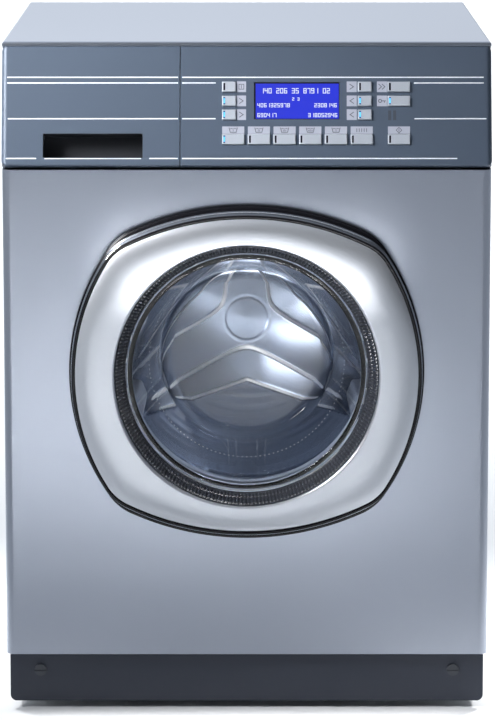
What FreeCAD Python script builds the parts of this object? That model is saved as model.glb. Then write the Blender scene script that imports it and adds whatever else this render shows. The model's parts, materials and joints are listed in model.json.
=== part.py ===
"""Front-loading washing machine, an assembly of separate pieces.

Millimetres. X is to the right of someone facing the door, Y to the back, Z up.
Every piece is laid out with Y counted from the front panel's face, and is moved back
to the centre of the footprint when it is written out.
"""
import FreeCAD
import Part
import math
import os

V = FreeCAD.Vector

# Clearances
seat_gap = 0.3          # between pieces that sit beside each other
running_fit = 0.05      # radial, between a shaft and its bore
sheet = 2.0             # folded steel panels
past = 1.0              # cutting tools reach past the faces they cut
near = 1.0              # edges this close to a face belong to it

# Cabinet
cabinet_width = 600.0
cabinet_depth = 600.0
rear_reach = 20.0       # hose fittings behind the rear panel
foot_height = 22.0
plinth_bottom = 9.0
plinth_height = 59.0
plinth_gap = 3.0        # shadow gap between plinth and front panel
plinth_setback = 8.0
plinth_inset = 4.0      # per side, against the front panel
plinth_thick = 4.0
plinth_corner = 8.0
panel_height = 610.0
panel_return = 22.0     # folded edge of the front panel
panel_edge_radius = 10.0
fascia_gap = 7.0        # between front panel and fascia
fascia_rise = 143.0     # height of the inclined fascia
fascia_overhang = 12.0  # its lower edge in front of the panel
fascia_lean = 39.0      # its upper edge behind its lower edge
fascia_depth = 18.0
fascia_wall = 3.0
fascia_corner = 7.0
top_lip = 5.0           # top panel's edge above the fascia
top_skirt = 24.0
top_edge_radius = 4.0
top_wall = 3.0
base_inset = 7.0        # per side, against the cabinet
base_floor = 3.0
base_wall = 2.5
side_flange = 14.0

# Drawer and its handle recess
drawer_width = 218.0
split_gap = 1.0
tray_wall = 2.5
tray_compartments = 3
tray_length = 250.0
tray_height = 73.0
tray_side_room = 15.0   # from the drawer front's ends to the tray
tray_front = 40.0
tray_floor_up = 14.0    # above the fascia's lower edge
housing_front = 46.0
housing_length = 274.0
housing_wall = 3.0
housing_height = 106.0
housing_runner = 6.0
recess_x = 51.0         # from the drawer front's left end
recess_width = 122.0
recess_v = 9.5          # up the fascia
recess_height = 30.0
recess_depth = 30.0

# Door, seen from the front: four bulging sides joined by rounded corners
door_up = 359.0         # door centre above the front panel's lower edge
door_half_width = 214.9
door_half_height = 198.8
door_side_radius = 266.0
door_top_radius = 336.0
door_corner_radius = 61.6
door_flare = 4.0        # the rim's foot outside its edge, sideways
door_flare_up = 9.5     # the same, up and down
door_bulge = 38.0       # face's ridge in front of the panel
door_standoff = 7.0     # rim's foot in front of the panel
door_shell = 2.0
rim_band = 4.3          # flat edge beside the face
face_roll = 6.5         # the ridge in front of that edge
ridge_in = 25.0         # the ridge inside the outline
dish_depth = 4.0        # from the ridge to the round opening
ring_radius = 162.5     # round opening in the bezel
ring_inner_radius = 150.0
ring_slope = 25.0       # ring's inner edge behind its outer edge
frame_inset = 22.0      # frame plate inside the rim's foot
frame_panel_gap = 2.0
bowl_rim_radius = 156.0
bowl_rim_thick = 6.0
bowl_mouth_radius = 147.0
bowl_tip_radius = 112.0
bowl_depth = 138.0
bowl_wall = 6.0
bowl_round = 22.0

# Door hinge and latch
hinge_in = 12.9         # axis inside the rim's foot
hinge_forward = 18.0    # axis in front of the panel
hinge_pin_radius = 2.5
hinge_barrel_radius = 4.0
hinge_half_span = 26.0
hinge_knuckle = 12.0
hinge_neck = 20.0       # sideways reach of the gooseneck
hinge_neck_thick = 5.0
hinge_plate_half = 40.0
hinge_slot_room = 1.0   # round each gooseneck in the panel
hook_x = 184.0
hook_width = 8.0
hook_height = 20.0
hook_reach = 24.0
lock_room = 6.0
lock_wall = 5.0

# Gasket
opening_radius = 170.0  # hole in the front panel
gasket_inner_radius = 154.0
gasket_fold_depth = 8.0
gasket_folds = 2
gasket_lip = 4.0
gasket_proud = 1.0      # bead in front of the panel
tub_front_gap = 1.5

# Tub, drum and bearings
tub_outer = 262.0       # radius
tub_wall = 6.0
drum_gap = 16.0
tub_front = 57.5
tub_split = 240.0
tub_back = 430.0
tub_mouth_radius = 162.0
drum_wall = 1.5
drum_front = 74.0
drum_back = 400.0
drum_mouth_radius = 158.0
lifters = 3
lifter_width = 70.0
lifter_height = 55.0
lifter_wall = 2.5
lifter_end_room = 18.0
shaft_radius = 15.0
shaft_clear = 5.0       # to the hole in the tub's back wall
bearing_outer_radius = 31.0
bearing_width = 16.0
hub_radius = 60.0
hub_length = 55.0
spider_thick = 14.0
spider_arm = 46.0
spider_arms = 3
pulley_radius = 140.0
pulley_width = 14.0
pulley_gap = 8.0
pulley_spokes = 6
spoke_width = 24.0

# Motor and belt
motor_x = 110.0
motor_gap = 20.8        # to the tub
motor_radius = 48.0
motor_length = 130.0
motor_wall = 8.0
rotor_end_gap = 1.0
motor_shaft_radius = 6.0
motor_pulley_radius = 11.0
belt_thick = 3.0
belt_width = 10.0

# Suspension
tub_travel = 8.0
strut_in = 62.0         # inside the tub's sides
strut_y = (150.0, 350.0)
strut_radius = 16.0
strut_rod_radius = 8.0
strut_top_up = 66.0     # lug's underside above the tub's lowest point
strut_cylinder = 113.0
strut_rod = 135.0
lug_half = 15.0
spring_in = 27.0        # inside the tub's sides
spring_y = 370.0
spring_radius = 12.0
spring_wall = 4.0
spring_hook_up = 42.0   # bracket below the cabinet's side top
bracket_thick = 4.0

# Water path and power
pump_x = -120.0
pump_z = 50.0
pump_front = 40.0
pump_length = 120.0
pump_radius = 24.0
filter_radius = 20.0
filter_grip = 10.0
filter_plug = 50.0
filter_clear = 6.0      # round the pump, in the base's front wall
sump_y = 120.0
sump_radius = 18.0
sump_stub = 12.0
hose_wall = 3.0
drain_radius = 12.0
spigot_radius = 11.0    # the drain pipe's end behind the base
dispenser_x = -150.0
dispenser_y = 280.0
valve_in = 100.0        # from the cabinet's left side
valve_down = 52.0       # below the cabinet's side top
valve_thread_radius = 13.2
valve_collar_radius = 15.5
valve_size = 44.0
mains_in = 80.0         # from the cabinet's right side
mains_radius = 11.0
heater_radius = 4.0
heater_half_span = 26.0
heater_front = 120.0

# Concrete weights on the tub
weight_margin = 14.0    # inside the tub's outline
weight_clear = 4.0      # to the gasket, at the end of the tub's travel
weight_thick = 30.0
weight_drop = 70.0      # crescent's ends below the drum axis
weight_x = -40.0
weight_width = 220.0
weight_y = 180.0
weight_length = 200.0
weight_rise = 64.0      # block above the tub

# Feet
foot_inset = 45.0
foot_pad_radius = 19.0
foot_stem_radius = 5.0
foot_nut_radius = 10.0
foot_nut_height = 5.0

# Fastener heads in the plinth
fastener_in = 38.0      # from the plinth's ends
fastener_up = 40.0      # above the plinth's lower edge
fastener_radius = 7.5
fastener_stem_radius = 4.0
fastener_slot = 2.0
fastener_head = 2.5
fastener_bar = 2.5

# Keys, placed on the fascia from its left end and up its slope
key_height = 12.4
key_proud = 2.2
key_travel = 1.2
key_clear = 0.4
key_flange = 1.0
key_flange_thick = 1.7
key_stem = 4.0
narrow_key = 16.6
wide_key = 27.0
column_rows = (56.5, 73.5, 91.0)
left_column_x = 51.0
right_column_x = 217.0
far_column_x = 253.5
program_row = 26.0
program_x = 51.0
program_pitch = 31.4
program_keys = 6
display_x = 90.0
display_v = 57.0
display_width = 104.5
display_height = 46.0
display_sink = 1.0
board_gap = 8.0         # behind the fascia's face plate
board_thick = 1.6
board_margin = 12.0

# Worked out from the values above
half_width = cabinet_width / 2
panel_bottom = plinth_bottom + plinth_height + plinth_gap
panel_top = panel_bottom + panel_height
fascia_bottom = panel_top + fascia_gap
fascia_top = fascia_bottom + fascia_rise
cabinet_height = fascia_top + top_lip
side_top = cabinet_height - top_skirt
fascia_angle = math.atan2(fascia_lean, fascia_rise)
fascia_length = math.hypot(fascia_lean, fascia_rise)
split_x = -half_width + drawer_width
door_z = panel_bottom + door_up
tub_inner = tub_outer - tub_wall
motor_drop = math.sqrt((tub_outer + motor_gap + motor_radius) ** 2 - motor_x ** 2)
strut_x = tub_outer - strut_in
spring_x = tub_outer - spring_in
valve_x = valve_in - half_width
mains_x = half_width - mains_in
valve_z = side_top - valve_down
fastener_x = half_width - plinth_inset - fastener_in
drum_radius = tub_inner - drum_gap
hinge_x = -(door_half_width + door_flare) + hinge_in
shaft_end = tub_back + hub_length + 2 * pulley_gap + pulley_width
pulley_front = tub_back + hub_length + pulley_gap
middle_y = (cabinet_depth + rear_reach - door_bulge) / 2


def box(x, y, z):
    """A block between two corners, each axis given as (low, high)."""
    return Part.makeBox(x[1] - x[0], y[1] - y[0], z[1] - z[0], V(x[0], y[0], z[0]))


def rod_y(x, z, radius, y):
    """A round bar along Y."""
    return Part.makeCylinder(radius, y[1] - y[0], V(x, y[0], z), V(0, 1, 0))


def rod_z(x, y, radius, z):
    """A round bar along Z."""
    return Part.makeCylinder(radius, z[1] - z[0], V(x, y, z[0]), V(0, 0, 1))


def tube_y(x, z, outer, inner, y):
    """A round pipe along Y."""
    return rod_y(x, z, outer, y).cut(rod_y(x, z, inner, y))


def tube_z(x, y, outer, inner, z):
    """A round pipe along Z."""
    return rod_z(x, y, outer, z).cut(rod_z(x, y, inner, z))


def turned(points, x, z):
    """A solid of revolution about a Y axis, from (radius, y) points."""
    corners = [V(x + radius, y, z) for radius, y in points]
    face = Part.Face(Part.makePolygon(corners + corners[:1]))
    solid = face.revolve(V(x, 0, z), V(0, 1, 0), 360)
    if solid.Volume < 0:
        solid.reverse()
    return solid


def mirrored(shape):
    """The same shape on the other side of the middle plane."""
    return shape.mirror(V(0, 0, 0), V(1, 0, 0))


def rounded(solid, radius, wanted):
    """Fillets the edges whose centre of gravity satisfies a test."""
    edges = [edge for edge in solid.Edges if wanted(edge)]
    return solid.makeFillet(radius, edges)


def along(edge, axis):
    """True if a straight edge runs along an axis, given as 0, 1 or 2."""
    first, last = edge.Vertexes[0].Point, edge.Vertexes[-1].Point
    step = last - first
    return step.Length > 0 and abs(abs(step[axis]) - step.Length) < 1e-6


def on_fascia(shape):
    """Turns a shape from the fascia's own axes (x, depth, up the slope) into place."""
    placed = shape.copy()
    placed.rotate(V(0, 0, 0), V(1, 0, 0), -math.degrees(fascia_angle))
    placed.translate(V(0, -fascia_overhang, fascia_bottom))
    return placed


def tub_height_at(x):
    """Half the height of the tub's outside at a distance from its middle."""
    return math.sqrt(tub_outer ** 2 - x ** 2)


# Cabinet

def front_of_body():
    """The space taken by the front panel and the fascia, cut from what is behind them."""
    far = cabinet_width
    panel_zone = box((-far, far), (-far, panel_return), (0, panel_top + fascia_gap / 2))
    slope_zone = on_fascia(box((-far, far), (-far, fascia_depth + seat_gap),
                               (-fascia_gap / 2, fascia_length)))
    return panel_zone.fuse(slope_zone)


def side_panel():
    """Right-hand side: a sheet with a flange on the base and a bracket for the spring."""
    inner = half_width - sheet
    panel = box((inner, half_width), (0, cabinet_depth), (panel_bottom, side_top))
    flange = box((inner - side_flange, inner), (panel_return, cabinet_depth - base_wall),
                 (panel_bottom, panel_bottom + sheet))
    bracket_z = side_top - spring_hook_up
    bracket = box((spring_x - spring_radius, inner),
                  (spring_y - lug_half, spring_y + lug_half),
                  (bracket_z, bracket_z + bracket_thick))
    return panel.fuse(flange).fuse(bracket).cut(front_of_body()).removeSplitter()


def rear_panel():
    """Flat sheet with holes for the water valve and the mains bush."""
    inner = half_width - sheet - seat_gap
    panel = box((-inner, inner), (cabinet_depth - sheet, cabinet_depth), (panel_bottom, side_top))
    far = cabinet_depth + rear_reach
    valve_hole = rod_y(valve_x, valve_z, valve_collar_radius + seat_gap, (0, far))
    mains_hole = rod_y(mains_x, valve_z, mains_radius + seat_gap, (0, far))
    return panel.cut(valve_hole).cut(mains_hole)


def base_frame():
    """Tray that carries the cabinet, open at the front where the pump filter is reached."""
    outer_x = half_width - base_inset
    front = plinth_setback + plinth_thick
    tray = box((-outer_x, outer_x), (front, cabinet_depth), (foot_height, panel_bottom))
    hollow = box((base_wall - outer_x, outer_x - base_wall),
                 (front + base_wall, cabinet_depth - base_wall),
                 (foot_height + base_floor, panel_bottom + past))
    filter_gap = pump_radius + filter_clear
    door = box((pump_x - filter_gap, pump_x + filter_gap), (front - past, front + base_wall + past),
               (foot_height + base_floor, panel_bottom + past))
    drain_hole = rod_y(pump_x, pump_z, drain_radius + seat_gap,
                       (cabinet_depth - 2 * base_wall, cabinet_depth + past))
    tray = tray.cut(hollow).cut(door).cut(drain_hole)
    for x in (-fastener_x, fastener_x):
        tray = tray.cut(rod_y(x, fastener_z(), fastener_stem_radius + running_fit,
                              (front - past, front + base_wall + past)))
    return tray


def levelling_feet():
    """Four screw feet with hexagon nuts under the base."""
    feet = []
    for x in (foot_inset - half_width, half_width - foot_inset):
        for y in (panel_return + foot_inset, cabinet_depth - foot_inset):
            pad = Part.makeCone(foot_pad_radius, foot_pad_radius - foot_nut_height, foot_height / 2,
                                V(x, y, 0))
            stem = rod_z(x, y, foot_stem_radius, (0, foot_height))
            corners = [V(x + foot_nut_radius * math.cos(k * math.pi / 3),
                         y + foot_nut_radius * math.sin(k * math.pi / 3), foot_height - foot_nut_height)
                       for k in range(7)]
            nut = Part.Face(Part.makePolygon(corners)).extrude(V(0, 0, foot_nut_height))
            feet.append(pad.fuse(stem).fuse(nut).removeSplitter())
    return Part.makeCompound(feet)


def fastener_z():
    """Height of the plinth's fasteners."""
    return plinth_bottom + fastener_up


def plinth():
    """Kick plate with rounded lower corners and two holes for its fasteners."""
    side = half_width - plinth_inset
    back = plinth_setback + plinth_thick
    plate = box((-side, side), (plinth_setback, back),
                (plinth_bottom, plinth_bottom + plinth_height))
    plate = rounded(plate, plinth_corner, lambda edge: along(edge, 1)
                    and edge.CenterOfGravity.z < plinth_bottom + near)
    for x in (-fastener_x, fastener_x):
        plate = plate.cut(rod_y(x, fastener_z(), fastener_stem_radius + running_fit,
                                (plinth_setback - past, back + past)))
    return plate


def plinth_fastener(x):
    """Quarter-turn fastener: slotted head, stem and a cross bar behind the base's wall."""
    z = fastener_z()
    back = plinth_setback + plinth_thick + base_wall + seat_gap
    face = plinth_setback - fastener_head
    head = rod_y(x, z, fastener_radius, (face, plinth_setback))
    slot = box((x - fastener_radius, x + fastener_radius), (face - past, face + fastener_head / 2),
               (z - fastener_slot / 2, z + fastener_slot / 2))
    stem = rod_y(x, z, fastener_stem_radius, (plinth_setback, back + fastener_bar))
    bar = box((x - fastener_radius, x + fastener_radius), (back, back + fastener_bar),
              (z - fastener_stem_radius / 2, z + fastener_stem_radius / 2))
    return head.cut(slot).fuse(stem).fuse(bar).removeSplitter()


def front_panel():
    """Folded sheet with rounded upright edges, the door opening, hinge and latch slots."""
    def upright_front(edge):
        return along(edge, 2) and edge.CenterOfGravity.y < sheet + near

    z = (panel_bottom, panel_top)
    skin = rounded(box((-half_width, half_width), (0, panel_return), z),
                   panel_edge_radius, upright_front)
    hollow = box((sheet - half_width, half_width - sheet), (sheet, 2 * panel_return),
                 (z[0] + sheet, z[1] - sheet))
    hollow = rounded(hollow, panel_edge_radius - sheet, upright_front)
    panel = skin.cut(hollow).cut(rod_y(0, door_z, opening_radius, (-past, sheet + past)))
    neck_x = hinge_x + hinge_neck
    through = (-past, sheet + past)
    half = hinge_knuckle / 2 + hinge_slot_room
    for middle in hinge_knuckle_heights():
        panel = panel.cut(box((neck_x - hinge_neck_thick, neck_x + hinge_neck_thick), through,
                              (middle - half, middle + half)))
    return panel.cut(lock_space(through))


def top_panel():
    """Top cover with a skirt and a rolled front edge above the fascia."""
    front = fascia_lean - fascia_overhang
    block = box((-half_width, half_width), (front, cabinet_depth), (side_top, cabinet_height))
    block = rounded(block, top_edge_radius, lambda edge: edge.CenterOfGravity.z > cabinet_height - near)
    hollow = box((top_wall - half_width, half_width - top_wall),
                 (front + top_wall, cabinet_depth - top_wall),
                 (side_top - past, cabinet_height - top_wall))
    return block.cut(hollow).cut(front_of_body()).removeSplitter()


# Fascia, keys and display

def fascia_shell(x):
    """Inclined tray, open behind, between two ends."""
    v = (0, fascia_length - seat_gap)
    rim = fascia_wall
    shell = box(x, (0, fascia_depth), v)
    shell = rounded(shell, sheet, lambda edge: along(edge, 0) and edge.CenterOfGravity.y < near)
    hollow = box((x[0] + rim, x[1] - rim), (fascia_wall, fascia_depth + past), (rim, v[1] - rim))
    return shell.cut(hollow)


def lower_corner(shell, x):
    """Rounds the outer lower corner of a fascia piece at one end."""
    return rounded(shell, fascia_corner, lambda edge: along(edge, 1)
                   and abs(edge.CenterOfGravity.x - x) < near and edge.CenterOfGravity.z < near)


def key_places():
    """Name, left end, lower edge and width of each key on the fascia."""
    places = []
    for number, v in enumerate(reversed(column_rows), 1):
        places.append((f"key_left_{number}", left_column_x, v, narrow_key))
        places.append((f"key_right_{number}", right_column_x, v, narrow_key))
    places.append(("key_skip", far_column_x, column_rows[2], wide_key))
    places.append(("key_door", far_column_x, column_rows[1], wide_key))
    for number in range(program_keys):
        x = program_x + number * program_pitch
        places.append((f"key_program_{number + 1}", x, program_row, wide_key))
    places.append(("key_start", far_column_x, program_row, wide_key))
    return [(name, split_x + split_gap + x, v, width) for name, x, v, width in places]


def display_opening(clear, depth):
    """The display's window, smaller by a clearance on every side."""
    x = split_x + split_gap + display_x
    return box((x + clear, x + display_width - clear), depth,
               (display_v + clear, display_v + display_height - clear))


def control_fascia():
    """Right part of the fascia, with holes for the keys and the display."""
    shell = lower_corner(fascia_shell((split_x + split_gap, half_width)), half_width)
    through = (-past, fascia_wall + past)
    for _, x, v, width in key_places():
        shell = shell.cut(box((x - key_clear, x + width + key_clear), through,
                              (v - key_clear, v + key_height + key_clear)))
    return on_fascia(shell.cut(display_opening(0, through)))


def key(x, v, width):
    """Cap through the fascia, a flange behind it and a stem towards the board."""
    flange_front = fascia_wall + seat_gap
    flange_back = flange_front + key_flange_thick
    cap = box((x, x + width), (-key_proud, flange_front), (v, v + key_height))
    cap = rounded(cap, key_proud / 3, lambda edge: edge.CenterOfGravity.y < seat_gap - key_proud)
    flange = box((x - key_flange, x + width + key_flange), (flange_front, flange_back),
                 (v - key_flange, v + key_height + key_flange))
    middle = x + width / 2
    stem_end = fascia_wall + board_gap - key_travel - seat_gap
    stem = box((middle - key_stem / 2, middle + key_stem / 2), (flange_back, stem_end),
               (v + key_height / 2 - key_stem / 2, v + key_height / 2 + key_stem / 2))
    return on_fascia(cap.fuse(flange).fuse(stem).removeSplitter())


def display_module():
    """Circuit board with the display on it, on four posts behind the fascia."""
    front = fascia_wall + board_gap
    start = split_x + split_gap + left_column_x - board_margin
    end = split_x + split_gap + far_column_x + wide_key + board_margin
    v = (program_row - board_margin, column_rows[2] + key_height + board_margin)
    board = box((start, end), (front, front + board_thick), v)
    glass = display_opening(seat_gap, (display_sink, front))
    module = board.fuse(glass)
    post = board_margin - 2 * key_flange
    for x in (start, end - post):
        for low in (v[0], v[1] - post):
            module = module.fuse(box((x, x + post), (fascia_wall, front), (low, low + post)))
    return on_fascia(module.removeSplitter())


# Detergent drawer

def tray_span():
    """Left and right side of the tray."""
    return -half_width + tray_side_room, split_x - tray_side_room


def housing_box():
    """Outer limits of the drawer housing as x, y and z pairs."""
    x = (-half_width + sheet + seat_gap, tray_span()[1] + housing_runner + housing_wall)
    low = fascia_bottom + tray_floor_up - housing_runner - housing_wall
    return x, (housing_front, housing_front + housing_length), (low, low + housing_height)


def drawer_front():
    """Left part of the fascia with a recessed handle."""
    left = -half_width
    shell = lower_corner(fascia_shell((left, split_x)), left)
    x = (left + recess_x, left + recess_x + recess_width)
    v = (recess_v, recess_v + recess_height)
    pocket = box((x[0] - tray_wall, x[1] + tray_wall), (fascia_wall, recess_depth + tray_wall),
                 (v[0] - tray_wall, v[1] + tray_wall))
    return on_fascia(shell.fuse(pocket).cut(box(x, (-past, recess_depth), v)).removeSplitter())


def drawer_tray():
    """Three compartments, with side walls that reach forward to the drawer front."""
    x0, x1 = tray_span()
    z0 = fascia_bottom + tray_floor_up
    z1 = z0 + tray_height
    back = tray_front + tray_length
    tray = box((x0, x1), (tray_front, back), (z0, z1))
    for x in (x0, x1 - tray_wall):
        tray = tray.fuse(box((x, x + tray_wall), (-fascia_overhang, tray_front + past), (z0, z1)))
    pitch = (x1 - x0 - tray_wall) / tray_compartments
    for number in range(tray_compartments):
        left = x0 + tray_wall + number * pitch
        tray = tray.cut(box((left, left + pitch - tray_wall),
                            (tray_front + tray_wall, back - tray_wall), (z0 + tray_wall, z1 + past)))
    far = cabinet_width
    ahead = on_fascia(box((-far, far), (-far, fascia_wall), (-far, far)))
    return tray.cut(ahead).removeSplitter()


def drawer_housing():
    """Box around the tray, open in front, with runners and an outlet to the tub."""
    x, y, z = housing_box()
    wall = housing_wall
    inner_z = (z[0] + wall, z[1] - wall)
    shell = box(x, y, z)
    shell = shell.cut(box((x[0] + wall, x[1] - wall), (y[0] - past, y[1] - wall), inner_z))
    runner_top = fascia_bottom + tray_floor_up - seat_gap
    x0, x1 = tray_span()
    for middle in (x0 + 2 * housing_runner, x1 - 2 * housing_runner):
        shell = shell.fuse(box((middle - housing_runner / 2, middle + housing_runner / 2),
                               (y[0], y[1] - wall), (inner_z[0], runner_top)))
    outlet = rod_z(dispenser_x, dispenser_y, sump_radius - hose_wall, (z[0] - past, inner_z[0] + past))
    return shell.cut(outlet).removeSplitter()


# Door

def door_arcs(grow_x, grow_z):
    """The outline's arcs as (centre x, centre z, radius, start angle, end angle), grown each way."""
    side_radius, top_radius = door_side_radius + grow_x, door_top_radius + grow_z
    corner_radius = door_corner_radius + grow_x
    side_centre = door_side_radius - door_half_width
    top_centre = door_top_radius - door_half_height
    reach_side = side_radius - corner_radius
    reach_top = top_radius - corner_radius
    apart = math.hypot(side_centre, top_centre)
    along_line = (reach_side ** 2 - reach_top ** 2 + apart ** 2) / (2 * apart)
    off_line = math.sqrt(reach_side ** 2 - along_line ** 2)
    step_x, step_z = side_centre / apart, -top_centre / apart
    corner_x = -side_centre + along_line * step_x - off_line * step_z
    corner_z = along_line * step_z + off_line * step_x
    low = math.atan2(corner_z, corner_x + side_centre)
    high = math.atan2(corner_z + top_centre, corner_x)
    pi = math.pi
    return [
        (-side_centre, 0, side_radius, -low, low),
        (corner_x, corner_z, corner_radius, low, high),
        (0, -top_centre, top_radius, high, pi - high),
        (-corner_x, corner_z, corner_radius, pi - high, pi - low),
        (side_centre, 0, side_radius, pi - low, pi + low),
        (-corner_x, -corner_z, corner_radius, pi + low, pi + high),
        (0, top_centre, top_radius, pi + high, 2 * pi - high),
        (corner_x, -corner_z, corner_radius, 2 * pi - high, 2 * pi - low),
    ]


def arc_edge(x, z, radius, start, end, y):
    """An arc in a plane of constant Y, about a point given from the door's centre."""
    points = [V(x + radius * math.cos(angle), y, door_z + z + radius * math.sin(angle))
              for angle in (start, (start + end) / 2, end)]
    return Part.Arc(*points).toShape()


def door_outline(grow_x, grow_z, y):
    """The door's outline, grown sideways and up and down."""
    return Part.Wire([arc_edge(*arc, y) for arc in door_arcs(grow_x, grow_z)])


def door_circle(radius, y):
    """A circle in as many arcs as the door's outline, in line with them."""
    starts = []
    for x, z, arc_radius, start, _ in door_arcs(0, 0):
        starts.append(math.atan2(z + arc_radius * math.sin(start), x + arc_radius * math.cos(start)))
    edges = []
    for first, second in zip(starts, starts[1:] + starts[:1]):
        end = second if second > first else second + 2 * math.pi
        edges.append(arc_edge(0, 0, radius, first, end, y))
    return Part.Wire(edges)


def dished(y):
    """The hollow in front of the bezel's face, from its ridge to the round opening."""
    return Part.makeLoft([door_outline(-ridge_in, -ridge_in, y),
                          door_circle(ring_radius, y + dish_depth)], True, True)


def door_form(thin):
    """The door's outside, thinned all round: a flared rim and a face that rises to a ridge."""
    foot, crest = -door_standoff, thin - door_bulge
    edge = crest + face_roll
    inset = rim_band + thin
    rim = Part.makeLoft([door_outline(door_flare - thin, door_flare_up - thin, foot),
                         door_outline(-thin, -thin, edge)], True, True)
    face = Part.makeLoft([door_outline(-inset, -inset, edge), door_outline(-ridge_in, -ridge_in, crest)],
                         True, True)
    return rim.fuse(face).cut(dished(crest))


def door_bezel():
    """Thin shell: a flared rim round a rolled face with a round opening."""
    opening = rod_y(0, door_z, ring_radius, (-door_bulge - past, -door_standoff + past))
    return door_form(0).cut(door_form(door_shell)).cut(opening)


def ring_front():
    """Where the ring's outer edge lies."""
    return dish_depth - door_bulge


def glass_seat():
    """The glass rim's front face."""
    return -frame_panel_gap - bowl_rim_thick


def hinge_knuckle_heights():
    """Middle heights of the two hinge knuckles."""
    return door_z - hinge_half_span, door_z + hinge_half_span


def door_frame():
    """Ring round the glass and back plate, with the hinge barrel on it."""
    outer = ring_radius - seat_gap
    seat = bowl_rim_radius + seat_gap
    back = -frame_panel_gap
    inner_front = ring_front() + ring_slope
    ring = turned([(outer, ring_front()), (ring_inner_radius, inner_front),
                   (ring_inner_radius, glass_seat() - seat_gap), (seat, glass_seat() - seat_gap),
                   (seat, back), (outer, back)], 0, door_z)
    plate_inset = frame_inset - door_flare
    plate = Part.Face(door_outline(-plate_inset, -plate_inset, -door_standoff))
    plate = plate.extrude(V(0, door_standoff - frame_panel_gap, 0))
    plate = plate.cut(rod_y(0, door_z, (outer + seat) / 2, (-door_standoff - past, 0)))
    barrel_half = hinge_half_span - hinge_knuckle / 2 - seat_gap
    barrel_z = (door_z - barrel_half, door_z + barrel_half)
    web = box((hinge_x, hinge_x + hinge_neck), (-hinge_forward - hinge_pin_radius, back), barrel_z)
    barrel = rod_z(hinge_x, -hinge_forward, hinge_barrel_radius, barrel_z)
    frame = ring.fuse(plate).fuse(web).fuse(barrel)
    frame = frame.cut(rod_z(hinge_x, -hinge_forward, hinge_pin_radius + running_fit,
                            (barrel_z[0] - past, barrel_z[1] + past)))
    reach = hinge_neck + hinge_neck_thick
    for z in hinge_knuckle_heights():
        half = hinge_knuckle / 2 + seat_gap
        frame = frame.cut(box((hinge_x - reach, hinge_x + reach), (-door_bulge, 0), (z - half, z + half)))
    return frame.removeSplitter()


def door_glass():
    """Deep glass bowl with a flat rim."""
    front, back = glass_seat(), -frame_panel_gap
    tip = bowl_depth
    bowl = turned([(bowl_rim_radius, front), (bowl_rim_radius, back), (bowl_mouth_radius, back),
                   (bowl_tip_radius, tip), (0, tip), (0, front)], 0, door_z)
    bowl = rounded(bowl, bowl_round, lambda edge: edge.BoundBox.YMin > tip - near)
    hollow = turned([(bowl_mouth_radius - bowl_wall, front - past), (bowl_mouth_radius - bowl_wall, back),
                     (bowl_tip_radius - bowl_wall, tip - bowl_wall), (0, tip - bowl_wall),
                     (0, front - past)], 0, door_z)
    hollow = rounded(hollow, bowl_round - bowl_wall,
                     lambda edge: edge.BoundBox.YMin > tip - bowl_wall - near)
    return bowl.cut(hollow)


def hinge_bracket():
    """Plate behind the front panel with two goosenecks out to the hinge pin."""
    neck_x = hinge_x + hinge_neck
    half = hinge_neck_thick / 2
    back = sheet + hinge_neck_thick
    bracket = box((hinge_x, neck_x + hinge_neck_thick), (sheet, back),
                  (door_z - hinge_plate_half, door_z + hinge_plate_half))
    for middle in hinge_knuckle_heights():
        z = (middle - hinge_knuckle / 2, middle + hinge_knuckle / 2)
        neck = box((neck_x - half, neck_x + half), (-hinge_forward - half, back), z)
        arm = box((hinge_x, neck_x), (-hinge_forward - half, -hinge_forward + half), z)
        eye = rod_z(hinge_x, -hinge_forward, hinge_barrel_radius, z)
        bore = rod_z(hinge_x, -hinge_forward, hinge_pin_radius + running_fit, (z[0] - past, z[1] + past))
        bracket = bracket.fuse(neck).fuse(arm).fuse(eye).cut(bore)
    return bracket.removeSplitter()


def hinge_pin():
    """Pin through both knuckles and the barrel."""
    half = hinge_half_span + hinge_knuckle / 2
    return rod_z(hinge_x, -hinge_forward, hinge_pin_radius, (door_z - half, door_z + half))


def door_hook():
    """Latch hook on the frame's back, with a window for the bolt."""
    x = (hook_x, hook_x + hook_width)
    bar = box(x, (-frame_panel_gap, hook_reach), (door_z - hook_height / 2, door_z + hook_height / 2))
    window = box((x[0] - past, x[1] + past), (hook_reach / 2, hook_reach * 3 / 4),
                 (door_z - hook_height / 4, door_z + hook_height / 4))
    return bar.cut(window)


def lock_space(y):
    """The room that the hook swings in."""
    half = hook_height / 2 + lock_room / 2
    return box((hook_x - lock_room, hook_x + hook_width + lock_room), y, (door_z - half, door_z + half))


def door_lock():
    """Latch housing behind the front panel."""
    half = hook_height / 2 + lock_room / 2 + lock_wall
    side = lock_room + lock_wall
    depth = hook_reach + lock_room
    block = box((hook_x - side, hook_x + hook_width + side), (sheet, depth + lock_wall),
                (door_z - half, door_z + half))
    return block.cut(lock_space((0, depth)))


def door_gasket():
    """Rubber lip in the panel's opening and a folded bellows back to the tub."""
    outer = opening_radius - seat_gap
    lip_back = 2 * gasket_lip
    end = tub_front - tub_front_gap
    collar = end - 2 * gasket_lip
    fold = (collar - lip_back) / (2 * gasket_folds)
    ridge = [(outer, lip_back)]
    for number in range(gasket_folds):
        y = lip_back + (2 * number + 1) * fold
        ridge += [(outer - gasket_fold_depth, y), (outer, y + fold)]
    inside = [(radius - gasket_lip, y) for radius, y in ridge]
    profile = [(outer, -gasket_proud)] + ridge + [(outer, end), (outer - gasket_lip, end)] + inside[::-1]
    profile += [(gasket_inner_radius, lip_back), (gasket_inner_radius, -gasket_proud)]
    return turned(profile, 0, door_z)


# Tub, drum and drive

def strut_lug_bottom():
    """Underside of the tub's lugs, where the damper rods push."""
    return door_z - tub_outer + strut_top_up


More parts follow.
